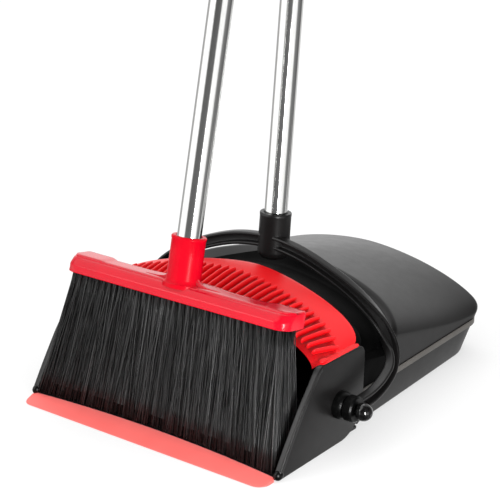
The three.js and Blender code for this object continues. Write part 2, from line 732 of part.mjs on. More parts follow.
function broomHead() {
  const bar = upright(headOutline(0), 0, HEAD_HEIGHT - 2, 5).add(upright(headOutline(2), 1, HEAD_HEIGHT, 5));
  const socket = turned([
    [0, 4], [BROOM_SOCKET_FOOT + 3, 4], [BROOM_SOCKET_FOOT + 3, HEAD_HEIGHT],
    [BROOM_SOCKET_FOOT, HEAD_HEIGHT + BOSS_HEIGHT], [BROOM_SOCKET_RADIUS, 34],
    [BROOM_SOCKET_RADIUS, BROOM_SOCKET_TOP], [0, BROOM_SOCKET_TOP],
  ], 36);
  const bore = cylinder(POLE_RADIUS + GAP, 10, BROOM_SOCKET_TOP + 1);
  const pocket = upright(headOutline(4), -1, PLATE_THICKNESS + GAP, 5);
  const body = bar.add(socket.intersect(box([-60, -HEAD_DEPTH / 2, 0], [60, HEAD_DEPTH / 2, 80])));
  return body.subtract(bore).subtract(pocket);
}

function bristlePlate() {
  return upright(headOutline(4 + GAP), 0, PLATE_THICKNESS, 5);
}

// Outline of the bristles in plan, as shares of their half width and half depth.
const BRISTLE_OUTLINE = [
  [-1, -0.85], [-0.98, -0.98], [-0.5, -1], [0, -1], [0.5, -1], [0.98, -0.98],
  [1, -0.85], [1, 0.7], [0.97, 0.96], [0.5, 1], [0, 1], [-0.5, 1], [-0.97, 0.96], [-1, 0.7],
];

// The bristles flare from the bar's underside down to the pan's floor.
function bristles() {
  const topAt = ([side, deep]) => new THREE.Vector3(
    side * BRISTLE_TOP_HALF, deep * BRISTLE_TOP_DEPTH / 2, -GAP,
  ).applyMatrix4(HEAD_PLACE);
  const floorMiddle = (BRISTLE_FLOOR_FRONT + BRISTLE_FLOOR_REAR) / 2;
  const floorHalf = (BRISTLE_FLOOR_REAR - BRISTLE_FLOOR_FRONT) / 2;
  const floorAt = ([side, deep]) => new THREE.Vector3(
    BROOM_SIDE + side * BRISTLE_FLOOR_HALF,
    floorMiddle + deep * floorHalf + (deep < 0 ? BRISTLE_BOW * (1 - side ** 2) : 0),
    BRISTLE_CLEARANCE,
  );
  const rings = [0, 0.3, 0.65, 1].map((rise) => BRISTLE_OUTLINE.map((share) => {
    const point = floorAt(share).lerp(topAt(share), rise);
    point.x += share[0] * BRISTLE_BULGE * Math.sin(Math.PI * rise);
    return point;
  }));
  return loft(rings, outlineFaces(BRISTLE_OUTLINE));
}

// Assembly

const PLUG_GAP = 1;
const PAN_POLE_BASE = 6 - PAN_SOCKET_LENGTH;
const BROOM_POLE_BASE = 11;

function pan() {
  const group = new THREE.Group();
  group.add(
    node('pan_tray', panTray(), BLACK),
    node('pan_hood', panHood(), BLACK),
    node('seam_trim', seamTrim(), TRIM_GREY),
    node('pan_lip', panLip(), LIP_RED),
    node('comb', comb(), COMB_RED),
    atPivot(node('pivot_bush_right', pivotBush(), SOFT_BLACK), 1),
    atPivot(node('pivot_bush_left', pivotBush(), SOFT_BLACK), -1),
    atPivot(node('pivot_pin_right', pivotPin(), GLOSS_BLACK), 1),
    atPivot(node('pivot_pin_left', pivotPin(), GLOSS_BLACK), -1),
  );
  return group;
}

function panHandle() {
  const group = new THREE.Group();
  const half = PAN_POLE_LENGTH * 0.52;
  const collar = JOINT_FLANGE / 2 + GAP;
  const top = PAN_POLE_BASE + PAN_POLE_LENGTH;
  PAN_POLE_GROUP.add(
    node('pan_pole_plug', polePlug(PAN_POLE_BASE + PLUG_GAP), SOFT_BLACK),
    node('pan_pole_lower', poleTube(PAN_POLE_BASE, half - collar), STEEL),
    node('pan_pole_joint', poleJoint(half), SOFT_BLACK),
    node('pan_pole_upper', poleTube(half + collar, top), STEEL),
    node('pan_grip', grip(top - PAN_GRIP_DROP), SOFT_BLACK),
    node('pan_hang_cap', hangCap(top), BLACK),
  );
  group.add(node('bail', bail(), BLACK), node('pole_clip', poleClip(), BLACK), PAN_POLE_GROUP);
  return group;
}

function broom() {
  const group = new THREE.Group();
  const third = BROOM_POLE_LENGTH / 3;
  const collar = JOINT_FLANGE / 2 + GAP;
  const first = BROOM_POLE_BASE + third;
  const second = BROOM_POLE_BASE + 2 * third;
  const top = BROOM_POLE_BASE + BROOM_POLE_LENGTH;
  HEAD_GROUP.add(
    node('broom_head', broomHead(), RED),
    node('bristle_plate', bristlePlate(), SOFT_BLACK),
  );
  BROOM_POLE_GROUP.add(
    node('broom_pole_plug', polePlug(BROOM_POLE_BASE + PLUG_GAP), SOFT_BLACK),
    node('broom_pole_lower', poleTube(BROOM_POLE_BASE, first - collar), STEEL),
    node('broom_pole_joint_lower', poleJoint(first), SOFT_BLACK),
    node('broom_pole_middle', poleTube(first + collar, second - collar), STEEL),
    node('broom_pole_joint_upper', poleJoint(second), SOFT_BLACK),
    node('broom_pole_upper', poleTube(second + collar, top), STEEL),
    node('broom_grip', grip(top - GAP), SOFT_BLACK),
    node('broom_hang_cap', hangCap(top), BLACK),
  );
  group.add(node('bristles', bristles(), BRISTLE_BLACK), BROOM_POLE_GROUP);
  return group;
}

const set = new THREE.Group();
set.position.y = -PAN_MIDDLE;
set.add(pan(), panHandle(), broom());

export default set;
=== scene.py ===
"""Lobby dustpan with a broom standing in its mouth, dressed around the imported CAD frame. Metres, +Z up."""
import json
import random
from math import copysign, cos, exp, hypot, log1p, pi, radians, sin, sqrt

import bmesh
import bpy
from mathutils import Matrix, Vector


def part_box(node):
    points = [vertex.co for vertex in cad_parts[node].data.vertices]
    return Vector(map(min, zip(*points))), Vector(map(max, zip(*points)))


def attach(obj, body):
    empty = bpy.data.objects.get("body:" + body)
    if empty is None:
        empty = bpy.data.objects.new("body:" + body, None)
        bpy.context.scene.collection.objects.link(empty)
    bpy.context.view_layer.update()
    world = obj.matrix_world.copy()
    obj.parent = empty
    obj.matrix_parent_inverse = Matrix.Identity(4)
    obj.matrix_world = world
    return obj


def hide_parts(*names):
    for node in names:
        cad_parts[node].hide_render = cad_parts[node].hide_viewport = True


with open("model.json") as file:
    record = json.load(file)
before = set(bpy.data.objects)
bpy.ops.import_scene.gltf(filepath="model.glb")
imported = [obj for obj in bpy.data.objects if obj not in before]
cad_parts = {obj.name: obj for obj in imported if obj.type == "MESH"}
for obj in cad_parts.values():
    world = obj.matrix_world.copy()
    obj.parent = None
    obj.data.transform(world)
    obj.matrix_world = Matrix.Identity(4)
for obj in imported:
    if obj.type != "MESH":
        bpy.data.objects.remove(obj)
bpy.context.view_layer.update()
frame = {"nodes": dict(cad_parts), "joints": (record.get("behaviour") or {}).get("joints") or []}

MM = 0.001
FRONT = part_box("pan_lip")[0].y  # the lip's front edge; depths below are measured back from it
REAR = (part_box("pan_hood")[1].y - FRONT) / MM
BALL_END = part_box("pivot_pin_right")[1].x / MM
JOINTS = {j["name"]: j for j in frame["joints"]}
PIVOT_DEPTH = (JOINTS["handle_swing"]["pos_m"][1] - FRONT) / MM
PIVOT_HEIGHT = JOINTS["handle_swing"]["pos_m"][2] / MM
SIDES = ((-1, "left"), (1, "right"))
BROOM_AXIS = Vector(JOINTS["broom_lift"]["axis"]).normalized()

# ---------------- helpers


def at(x, depth, z):
    """A point given in millimetres: sideways, back from the lip's edge, up."""
    return Vector((x * MM, depth * MM + FRONT, z * MM))


def put(place, x, y, z):
    """A point given in millimetres in another frame."""
    return place @ (Vector((x, y, z)) * MM)


def lerp(a, b, t):
    return a + (b - a) * t


def ease(t):
    t = max(0.0, min(1.0, t))
    return t * t * (3 - 2 * t)


def spread(n, a=0.0, b=1.0):
    """n + 1 evenly spaced values from a to b."""
    return [a + (b - a) * i / n for i in range(n + 1)]


def circle(n):
    """n evenly spaced angles round a full turn."""
    return [2 * pi * k / n for k in range(n)]


def linked(name, data):
    """A new object, put into the scene."""
    obj = bpy.data.objects.new(name, data)
    bpy.context.scene.collection.objects.link(obj)
    return obj


def piece(name, verts, faces, mat, body, nodes=(), sharp=38):
    """A named piece of the object from points in metres, riding on a CAD body and shown for its nodes."""
    mesh = bpy.data.meshes.new(name)
    mesh.from_pydata([tuple(v) for v in verts], [], faces)
    bm = bmesh.new()
    bm.from_mesh(mesh)
    bmesh.ops.remove_doubles(bm, verts=bm.verts, dist=2e-6)
    bmesh.ops.dissolve_degenerate(bm, edges=bm.edges, dist=1e-6)
    bmesh.ops.recalc_face_normals(bm, faces=bm.faces)
    bm.to_mesh(mesh)
    bm.free()
    obj = linked(name, mesh)
    mesh.materials.append(mat)
    shade(mesh, sharp)
    obj["sharp"] = sharp
    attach(obj, body)
    if nodes:
        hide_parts(*nodes)
    return obj


def shell(name, rings, mat, body, node, sharp=38, caps=True):
    """A named piece skinned over closed rings of points."""
    verts, faces = skin(rings, caps=caps)
    return piece(name, verts, faces, mat, body, [node], sharp)


def tray_piece(name, rings, mat, caps=True):
    return shell(name, rings, mat, "pan", "pan_tray", caps=caps)


def shade(mesh, sharp):
    mesh.polygons.foreach_set("use_smooth", [True] * len(mesh.polygons))
    mesh.set_sharp_from_angle(angle=radians(sharp))


def modified(obj, kind, **settings):
    """Applies a modifier to the object's mesh."""
    modifier = obj.modifiers.new(kind, kind)
    for key, value in settings.items():
        setattr(modifier, key, value)
    bpy.context.view_layer.update()
    graph = bpy.context.evaluated_depsgraph_get()
    mesh = bpy.data.meshes.new_from_object(obj.evaluated_get(graph))
    obj.modifiers.clear()
    obj.data = mesh
    shade(mesh, obj["sharp"])
    return obj


def rounded(obj, width, segments=3, angle=35):
    """Rounds the object's edges by a width in millimetres."""
    where = {"limit_method": "ANGLE", "angle_limit": radians(angle)}
    return modified(obj, "BEVEL", width=width * MM, segments=segments, **where)


def thickened(obj, wall):
    """Gives an open surface a wall, inwards, in millimetres."""
    return modified(obj, "SOLIDIFY", thickness=wall * MM, offset=-1, use_even_offset=False)


def skin(rings, closed=True, caps=True):
    """Points and faces of a surface through rings of points."""
    n = len(rings[0])
    verts = [p for ring in rings for p in ring]
    faces = []
    for i in range(len(rings) - 1):
        for j in range(n if closed else n - 1):
            a, b = i * n + j, i * n + (j + 1) % n
            faces.append((a, b, b + n, a + n))
    if caps and closed:
        faces.append(tuple(range(n - 1, -1, -1)))
        faces.append(tuple(range((len(rings) - 1) * n, len(rings) * n)))
    return verts, faces


def gathered(shells):
    """Points and faces of several surfaces, each given by its rings, as one."""
    verts, faces = [], []
    for rings in shells:
        v, f = skin(rings)
        faces += [tuple(k + len(verts) for k in face) for face in f]
        verts += v
    return verts, faces


def softened(points, radius, steps=4, closed=True):
    """An outline with its corners rounded. radius is one number or one for each corner."""
    n = len(points)
    radii = radius if isinstance(radius, (list, tuple)) else [radius] * n
    out = []
    for i, p in enumerate(points):
        p = Vector(p)
        if radii[i] <= 0 or (not closed and i in (0, n - 1)):
            out.append(p)
            continue
        before, after = Vector(points[i - 1]) - p, Vector(points[(i + 1) % n]) - p
        r = min(radii[i], before.length * 0.49, after.length * 0.49)
        a, b = p + before.normalized() * r, p + after.normalized() * r
        for t in spread(steps):
            out.append(a * (1 - t) ** 2 + p * 2 * t * (1 - t) + b * t * t)
    return out


def turned(name, profile, place, mat, body, nodes=(), sides=72, sharp=38):
    """A piece turned about its own Z axis from [radius, height] points in millimetres."""
    rings = [
        [place @ Vector((r * cos(a) * MM, r * sin(a) * MM, z * MM)) for a in circle(sides)]
        for r, z in profile
    ]
    verts, faces = skin(rings, caps=profile[0][0] > 0 and profile[0] != profile[-1])
    return piece(name, verts, faces, mat, body, nodes, sharp)


def ellipsoid(side, centre, radii, rows, sides):
    """Rings of an ellipsoid from foot to top, mirrored to one side of the pan's centre plane."""
    (x, depth, z), (rx, ry, rz) = centre, radii
    rings = []
    for a in spread(rows, -90, 90):
        c, s = cos(radians(a)), sin(radians(a))
        rings.append([
            at(side * (x + rx * c * cos(b)), depth + ry * c * sin(b), z + rz * s) for b in circle(sides)
        ])
    return rings


def leaning(origin, axis):
    """The frame whose Z runs along an axis that leans in the plane of depth and height."""
    z = axis.normalized()
    x = Vector((1, 0, 0))
    y = z.cross(x)
    m = Matrix((x, y, z)).transposed().to_4x4()
    m.translation = origin
    return m


def bezier(p0, p1, p2, steps=8):
    """Points of a quadratic curve, the first left out."""
    p0, p1, p2 = Vector(p0), Vector(p1), Vector(p2)
    return [p0 * (1 - t) ** 2 + p1 * 2 * t * (1 - t) + p2 * t * t for t in spread(steps)[1:]]


def mixed(a, b, start, end, t):
    """The point between a and b at t, where t runs from start to end."""
    return a * ((end - t) / (end - start)) + b * ((t - start) / (end - start))


def spline(points, samples):
    """Evenly spaced points on a smooth curve through the given ones."""
    pts = [Vector(p) for p in points]
    pts = [pts[0] * 2 - pts[1]] + pts + [pts[-1] * 2 - pts[-2]]
    fine = []
    for i in range(1, len(pts) - 2):
        p = pts[i - 1 : i + 3]
        knots = [0.0]
        for j in range(3):
            knots.append(knots[-1] + (p[j + 1] - p[j]).length ** 0.5)
        for k in range(24):
            t = lerp(knots[1], knots[2], k / 24)
            a = [mixed(p[j], p[j + 1], knots[j], knots[j + 1], t) for j in range(3)]
            b = [mixed(a[j], a[j + 1], knots[j], knots[j + 2], t) for j in range(2)]
            fine.append(mixed(b[0], b[1], knots[1], knots[2], t))
    fine.append(pts[-2])
    return resample(fine, samples)


def resample(points, samples):
    """samples + 1 evenly spaced points along a line of points."""
    lengths = [0.0]
    for a, b in zip(points, points[1:]):
        lengths.append(lengths[-1] + (b - a).length)
    out, k = [], 0
    for i in range(samples + 1):
        s = lengths[-1] * i / samples
        while k < len(points) - 2 and lengths[k + 1] < s:
            k += 1
        span = max(1e-9, lengths[k + 1] - lengths[k])
        out.append(points[k].lerp(points[k + 1], max(0, min(1, (s - lengths[k]) / span))))
    return out


def swept(path, section, outward):
    """Rings of a section [sideways, outwards] along a path; outward(i, tangent) gives its direction."""
    rings = []
    for i, p in enumerate(path):
        tangent = (path[min(i + 1, len(path) - 1)] - path[max(i - 1, 0)]).normalized()
        out = outward(i, tangent)
        out = (out - tangent * out.dot(tangent)).normalized()
        side = tangent.cross(out).normalized()
        rings.append([p + side * (s * MM) + out * (o * MM) for s, o in section])
    return rings


# ---------------- materials


class Nodes:
    """Short ways to add nodes to a material."""

    def __init__(self, name):
        self.mat = bpy.data.materials.new(name)
        self.mat.use_nodes = True
        self.tree = self.mat.node_tree
        self.shader = self.tree.nodes["Principled BSDF"]
        self.where = self.tree.nodes.new("ShaderNodeTexCoord").outputs["Object"]

    def fill(self, node, inputs):
        """Links or sets the node's inputs, named with _ for a space."""
        for key, value in inputs.items():
            socket = node.inputs[key.replace("_", " ")]
            if isinstance(value, bpy.types.NodeSocket):
                self.tree.links.new(value, socket)
            else:
                socket.default_value = value

    def add(self, kind, **inputs):
        node = self.tree.nodes.new(kind)
        self.fill(node, inputs)
        return node

    def stretched(self, scale):
        return self.add("ShaderNodeMapping", Vector=self.where, Scale=scale).outputs[0]

    def noise(self, scale, detail=3.0, rough=0.55, where=None):
        inputs = {"Vector": where or self.where, "Scale": scale, "Detail": detail, "Roughness": rough}
        return self.add("ShaderNodeTexNoise", **inputs).outputs["Fac"]

    def between(self, value, low, high, to_low, to_high):
        ends = {"From_Min": low, "From_Max": high, "To_Min": to_low, "To_Max": to_high}
        return self.add("ShaderNodeMapRange", Value=value, **ends).outputs["Result"]

    def ramp(self, value, stops):
        node = self.add("ShaderNodeValToRGB", Fac=value)
        while len(node.color_ramp.elements) < len(stops):
            node.color_ramp.elements.new(0.5)
        for element, (pos, colour) in zip(node.color_ramp.elements, stops):
            element.position = pos
            element.color = (*colour, 1)
        return node.outputs["Color"]

    def bump(self, height, strength, distance, **normal):
        node = self.add("ShaderNodeBump", Height=height, Strength=strength, Distance=distance, **normal)
        return node.outputs["Normal"]

    def set(self, **inputs):
        self.fill(self.shader, inputs)
        return self.mat


def moulded(name, colour, rough, grain=0.25, grain_scale=1400.0, wear=0.12, spec=0.5, coat=0.0):
    """Moulded plastic: fine grain, slight mottling of colour and gloss, faint flow waves."""
    n = Nodes(name)
    tone = n.noise(38.0, 4.0)
    dark = [c * (1 - wear) for c in colour]
    light = [min(1.0, c * (1 + wear) + 0.002 * wear) for c in colour]
    fine = n.noise(grain_scale, 2.0, 0.7)
    waves = n.noise(14.0, 1.0)
    skin_bump = n.bump(waves, 0.05, 0.0008)
    return n.set(
        Base_Color=n.ramp(tone, [(0.3, dark), (0.7, light)]),
        Roughness=n.between(n.noise(90.0, 5.0), 0.3, 0.7, rough * 0.94, rough * 1.06),
        Specular_IOR_Level=spec,
        Coat_Weight=coat,
        Coat_Roughness=0.06,
        Normal=n.bump(fine, grain, 0.00006, Normal=skin_bump),
    )


def polished_steel():
    """Bright tube: fine streaks along it and faint smudges."""
    n = Nodes("polished_steel")
    streaks = n.noise(900.0, 3.0, 0.6, n.stretched((1.0, 1.0, 0.012)))
    smudges = n.noise(26.0, 5.0)
    return n.set(
        Base_Color=n.ramp(streaks, [(0.25, (0.66, 0.66, 0.65)), (0.75, (0.8, 0.8, 0.79))]),
        Metallic=1.0,
        Roughness=n.between(smudges, 0.3, 0.75, 0.09, 0.17),
        Normal=n.bump(streaks, 0.05, 0.00003),
    )


def bristle_plastic():
    """Black filament, each strand a little lighter or darker."""
    n = Nodes("bristle_plastic")
    strand = n.add("ShaderNodeNewGeometry").outputs["Random Per Island"]
    greys = [(pos, (v, v, v)) for pos, v in ((0.0, 0.004), (0.7, 0.012), (1.0, 0.05))]
    return n.set(
        Base_Color=n.ramp(strand, greys),
        Roughness=n.between(strand, 0.0, 1.0, 0.5, 0.3),
        Specular_IOR_Level=0.5,
        Normal=n.bump(n.noise(2600.0, 2.0), 0.1, 0.00005),
    )


def soft_lip():
    """Satin coral red of the soft lip."""
    n = Nodes("soft_lip")
    tone = n.noise(30.0, 4.0)
    return n.set(
        Base_Color=n.ramp(tone, [(0.3, (0.92, 0.105, 0.09)), (0.7, (0.97, 0.125, 0.108))]),
        Roughness=n.between(n.noise(120.0, 4.0), 0.3, 0.7, 0.5, 0.62),
        Sheen_Weight=0.25,
        Normal=n.bump(n.noise(1900.0, 2.0), 0.22, 0.00006),
    )


BLACK = moulded("black_plastic", (0.0068, 0.0063, 0.0063), 0.36, grain=0.22, spec=0.4)
# Painted shade: a darker, duller black for the hood's trough, where the bail's shade falls.
PAINTED_SHADE_BLACK = moulded("painted_shade_black_plastic", (0.0016, 0.0016, 0.0016), 0.55, grain=0.3, spec=0.04)
DEEP_BLACK = moulded("deep_black_plastic", (0.002, 0.002, 0.002), 0.3, grain=0.1, spec=0.22)
SOFT_BLACK = moulded("soft_black_grip", (0.011, 0.011, 0.011), 0.6, grain=0.5, grain_scale=900.0)
GLOSS_BLACK = moulded("gloss_black_plastic", (0.004, 0.004, 0.004), 0.12, grain=0.03, coat=0.3)
TRIM = moulded("trim_plastic", (0.085, 0.078, 0.07), 0.42)
RED = moulded("red_gloss_plastic", (0.56, 0.001, 0.014), 0.18, grain=0.04, wear=0.04, spec=0.27)
COMB_RED = moulded("red_satin_plastic", (0.78, 0.004, 0.008), 0.4, grain=0.12, wear=0.04, spec=0.3)
# Painted shade: a darker red for the sunk grooves between the comb's ribs.
PAINTED_SHADE_RED = moulded("painted_shade_groove_red_plastic", (0.5, 0.001, 0.004), 0.45, grain=0.12, wear=0.04, spec=0.2)
SOCKET_RED = moulded("red_socket_plastic", (0.57, 0.0006, 0.011), 0.26, grain=0.04, wear=0.04, spec=0.07)
LIP_RED = soft_lip()
STEEL = polished_steel()
BRISTLE = bristle_plastic()

# ---------------- pan body

GAP = 0.3  # left between neighbouring parts
WALL = 3.0  # thickness of hood and tray walls
SEAM = 36.0  # height of the joint between tray and hood
SEAM_CORNER = 26.0  # radius of the body's rear corners at the seam
FOOT_CORNER = 40.0  # the same at the foot
CHEEK_INNER, CHEEK_OUTER = 151.0, 156.0  # faces of the side plates, from the centre plane
SHOULDER = 90.0  # height of the hood's sides at the front
HOOD_LEAN = 1.2  # how far the hood's front edge leans back for each millimetre of height
FRONT_RISE = 35.5  # height of the hood's front arch over its ends
TROUGH_DROP = 16.0  # depth of the trough that the bail lies in
TRAY_FRONT = 158.0  # where the tray's side walls start
HOOD_RINGS = 110
PAINTED_SHADE_SHARE = 0.4  # share of the hood's rings that lie in the trough; these get painted shade, a darker and duller black
CORNER_RINGS = 12  # rings round the hood's rear edge


def front_share(share):
    """Height of the hood's front arch at a sideways share, from 1 in the middle to 0 at the sides."""
    out = min(1.0, abs(share))
    return max(0.0, 1 - 1.35 * out * out / (out + 0.35)) ** 0.5


def trough_start(share):
    """Depth where the trough that holds the bail starts to fall."""
    return 162 + 35 * front_share(share) ** 1.2


def trough_rear(share):
    """Depth where the trough starts to rise again."""
    return lerp(236, 208, min(1.0, abs(share)) ** 6)


def arch_share(share, square=1.75):
    """Height of a full arch at a sideways share, from 1 in the middle to 0 at the sides."""
    return (1 - min(1.0, abs(share)) ** square) ** 0.62


def body_sizes(depth):
    """Half width, half width at the foot, top of the arch, and shoulder height at a depth."""
    along = max(0.0, min(1.05, (depth - 165) / 235))
    top = lerp(140.5, 91, along ** 1.15)
    return lerp(150.5, 147, along), lerp(147, 138, along), top, lerp(SHOULDER, 34, along)


def floor_front(x, gap=GAP):
    """Depth of the floor's front edge. Without the gap it is the lip's rear edge."""
    return 22 + gap + 9 * (1 - (x / CHEEK_INNER) ** 2)


def rear_cut(depth, radius):
    """How far a rear corner of some radius draws the side in at a depth."""
    past = max(0.0, min(1.0, (depth - (REAR - radius)) / radius))
    return radius * (1 - sqrt(1 - past * past))


def rear_depths(straight, last, radius):
    """Depths along a body side: evenly to the corner, then round it."""
    start = REAR - radius
    return spread(straight, last, start) + [start + radius * sin(radians(a)) for a in range(6, 91, 6)]


def hood_front(z):
    """Depth of the hood's front edge at a height."""
    if z > 91:
        return 152 + HOOD_LEAN * (z - 91)
    return lerp(164.3, 152, ease((z - 58) / 22))


def above_seam(z):
    """A height that levels off softly just over the seam."""
    floor = SEAM + 6
    return floor + 5 * log1p(exp((z - floor) / 5))


def hood_point(kind, t, depth):
    """A point of the hood's outline. kind is -1 and 1 for its upright sides and 0 for the arch."""
    half, _, apex, shoulder = body_sizes(depth)
    share = kind or sin(pi * (t - 0.5))
    fall = ease((depth - trough_start(share)) / 10)
    over = 1 - ease((depth - trough_rear(share)) / 22)
    if kind:
        return Vector((kind * half, lerp(SEAM + GAP, above_seam(shoulder - TROUGH_DROP * fall * over), t)))
    edge = SHOULDER + FRONT_RISE * front_share(share)
    _, _, edge_apex, edge_shoulder = body_sizes(hood_front(edge))
    sag = max(0.0, edge_shoulder + (edge_apex - edge_shoulder) * arch_share(share) - edge)
    drop = lerp(sag, TROUGH_DROP, fall) * over
    base = above_seam(shoulder - drop)
    flank = sin(pi * max(0.0, min(1.0, (depth - 180) / 240))) ** 2
    rise = arch_share(share, 1.75 - 0.15 * flank)
    return Vector((share * (half - 10 * fall * over), base + (apex - drop - base) * rise))


def make_hood():
    """The arched upper shell: straight sides, a trough for the bail with painted shade in it, a rounded rear
    edge and a flat rear.
    """
    sides = spread(8)[:-1]
    columns = [(-1, t) for t in sides] + [(0, t) for t in spread(96)] + [(1, t) for t in sides[::-1]]
    last = len(columns) - 1
    rear = [hood_point(kind, t, REAR) for kind, t in columns]
    radii, normals = [], []
    for i, (kind, _) in enumerate(columns):
        radii.append(lerp(3.5, SEAM_CORNER, (1 - ease((rear[i][1] - SEAM) / 22)) ** 1.3))
        along = rear[min(i + 1, last)] - rear[max(i - 1, 0)]
        normals.append(Vector((-kind, 0)) if kind else Vector((along[1], -along[0])).normalized())
    rings = []
    for v in spread(HOOD_RINGS) + [1 + k / CORNER_RINGS for k in range(1, CORNER_RINGS + 1)]:
        ring = []
        for i, (kind, t) in enumerate(columns):
            start = REAR - radii[i]
            share = sin(pi * (t - 0.5))
            if v <= 1:
                front = hood_front(SHOULDER + FRONT_RISE * front_share(share))
                border = trough_rear(share) + 8 + 14 * (1 - abs(share)) ** 3
                if kind:
                    front = hood_front(lerp(SEAM, SHOULDER, t))
                    border = lerp(203, trough_rear(1) + 8, ease(t))
                if v < PAINTED_SHADE_SHARE:
                    depth = lerp(front, border, v / PAINTED_SHADE_SHARE)
                else:
                    depth = lerp(border, start, (v - PAINTED_SHADE_SHARE) / (1 - PAINTED_SHADE_SHARE))
                x, z = hood_point(kind, t, depth)
            else:
                turn = radians(90 * (v - 1))
                depth = start + radii[i] * sin(turn) ** 0.85
                inset = 1 - max(0.0, cos(turn)) ** 0.85
                x, z = hood_point(kind, t, depth)
                x, z = x + normals[i][0] * radii[i] * inset, z + normals[i][1] * min(radii[i], 4.0) * inset
            ring.append(at(x, depth, z))
        rings.append(ring)
    verts, faces = skin(rings, closed=False)
    first = (len(rings) - 1) * len(columns)
    faces.append(tuple(range(first, first + len(columns))))
    obj = piece("hood_shell", verts, faces, BLACK, "pan", ["pan_hood"])
    obj.data.materials.append(PAINTED_SHADE_BLACK)
    # Painted shade: the rings over the trough take the darker, duller black.
    for face in obj.data.polygons[: round(PAINTED_SHADE_SHARE * HOOD_RINGS) * last]:
        face.material_index = 1
    thickened(obj, WALL - 0.6)


def make_tray():
    """The low walls of the body, and the floor up to the lip."""
    rings = []
    for depth in rear_depths(30, TRAY_FRONT, SEAM_CORNER):
        half, foot, _, _ = body_sizes(depth)
        half -= rear_cut(depth, SEAM_CORNER)
        foot -= rear_cut(depth, FOOT_CORNER)
        corners = [(-half, SEAM), (-foot, 0.45), (foot, 0.45), (half, SEAM)]
        outline = softened(corners, [0, 3, 3, 0], 5, closed=False)
        rings.append([at(p[0], max(depth, TRAY_FRONT + 11 * (1 - ease(p[1] / 14))), p[1]) for p in outline])
    verts, faces = skin(rings, closed=False)
    n = len(rings[0])
    faces.append(tuple(range((len(rings) - 1) * n, len(rings) * n)))
    obj = piece("tray_walls", verts, faces, BLACK, "pan", ["pan_tray"])
    thickened(obj, WALL)
    rounded(obj, 0.6, 2, 50)
    for vertex in obj.data.vertices:
        vertex.co.z = max(vertex.co.z, 0.0)

    rings = []
    for x in spread(48, -150.9, 150.9):
        front = floor_front(x)
        back = lerp(TRAY_FRONT, 171, ease((144 - abs(x)) / 3))
        corners = [(front, 0.2), (front, 2.6), (front + 4, 3), (back, 3), (back, 0.02)]
        rings.append([at(x, p[0], p[1]) for p in softened(corners, [0.5, 0.8, 1, 0, 0], 3)])
    tray_piece("tray_floor", rings, BLACK)


def cheek_front():
    """The cheek's slanted front edge as [depth, height], from the toe to its top corner."""
    points = [Vector((24, 0.4))] + bezier((24, 0.4), (20.5, 1), (22, 6), 4)
    points += bezier(points[-1], (34, 26), (58, 59), 10)
    return points + bezier((81, 87), (86, 93), (94, 93.2), 6)


def cheek_outline():
    """Side view of a cheek, from the toe round by the top and the rear."""
    points = cheek_front()
    points += bezier((150, 91.5), (163, 91), (163, 80), 6)
    points += bezier((161.5, 40), (160, 12), (146, 8), 10)
    points += bezier(points[-1], (138, 1.5), (126, 0.4), 6)
    return points


def make_cheek(side, label):
    """A side plate with its front rim, the web that joins it to the walls, and its rounded toe."""
    obj = tray_piece(f"cheek_{label}", [
        [at(side * x, p[0], p[1]) for p in cheek_outline()] for x in (CHEEK_INNER, CHEEK_OUTER)
    ], BLACK)
    rounded(obj, 1.0, 3, 40)

    section = softened([(150.5, -0.4), (157.3, -0.4), (157.3, 4.2), (150.5, 4.2)], [1.4, 1.4, 0.6, 0.6], 4)
    steps = 60
    points = resample([Vector((p[0], p[1])) for p in cheek_front()[2:-2]], steps)
    rings = []
    for i, p in enumerate(points):
        tangent = (points[min(i + 1, steps)] - points[max(i - 1, 0)]).normalized()
        inward = Vector((tangent[1], -tangent[0]))
        rings.append([at(side * x, *(p + inward * w)) for x, w in section])
    rounded(tray_piece(f"cheek_rim_{label}", rings, BLACK), 0.5, 2, 50)

    web = [(118, 0.3), (138, 0.3), (148, 9), (164, 12), (164, SEAM), (150, SEAM)]
    rings = [[at(side * x, *p) for p in web] for x in (143.5, 151.5)]
    rounded(tray_piece(f"cheek_web_{label}", rings, BLACK), 0.5, 2)
    toe = ellipsoid(side, (153.8, 25, 5.2), (4.4, 6, 5.1), 14, 20)
    tray_piece(f"cheek_toe_{label}", toe, DEEP_BLACK, caps=False)


def make_trim():
    """The strip along the joint between hood and tray, round the rear."""
    side = [(body_sizes(d)[0] - rear_cut(d, SEAM_CORNER), d) for d in rear_depths(40, 168, SEAM_CORNER)]
    plan = [at(x, d, SEAM + 0.2) for x, d in side]
    plan += [at(x, REAR, SEAM + 0.2) for x in spread(20, side[-1][0], -side[-1][0])[1:-1]]
    plan += [at(-x, d, SEAM + 0.2) for x, d in side[::-1]]
    section = softened([(-3.2, 0.2), (-3.2, 1.2), (3.2, 1.2), (3.2, 0.2)], 0.6, 3)
    rings = swept(plan, section, lambda i, tangent: tangent.cross(Vector((0, 0, 1))))
    shell("seam_strip", rings, TRIM, "pan", "seam_trim")


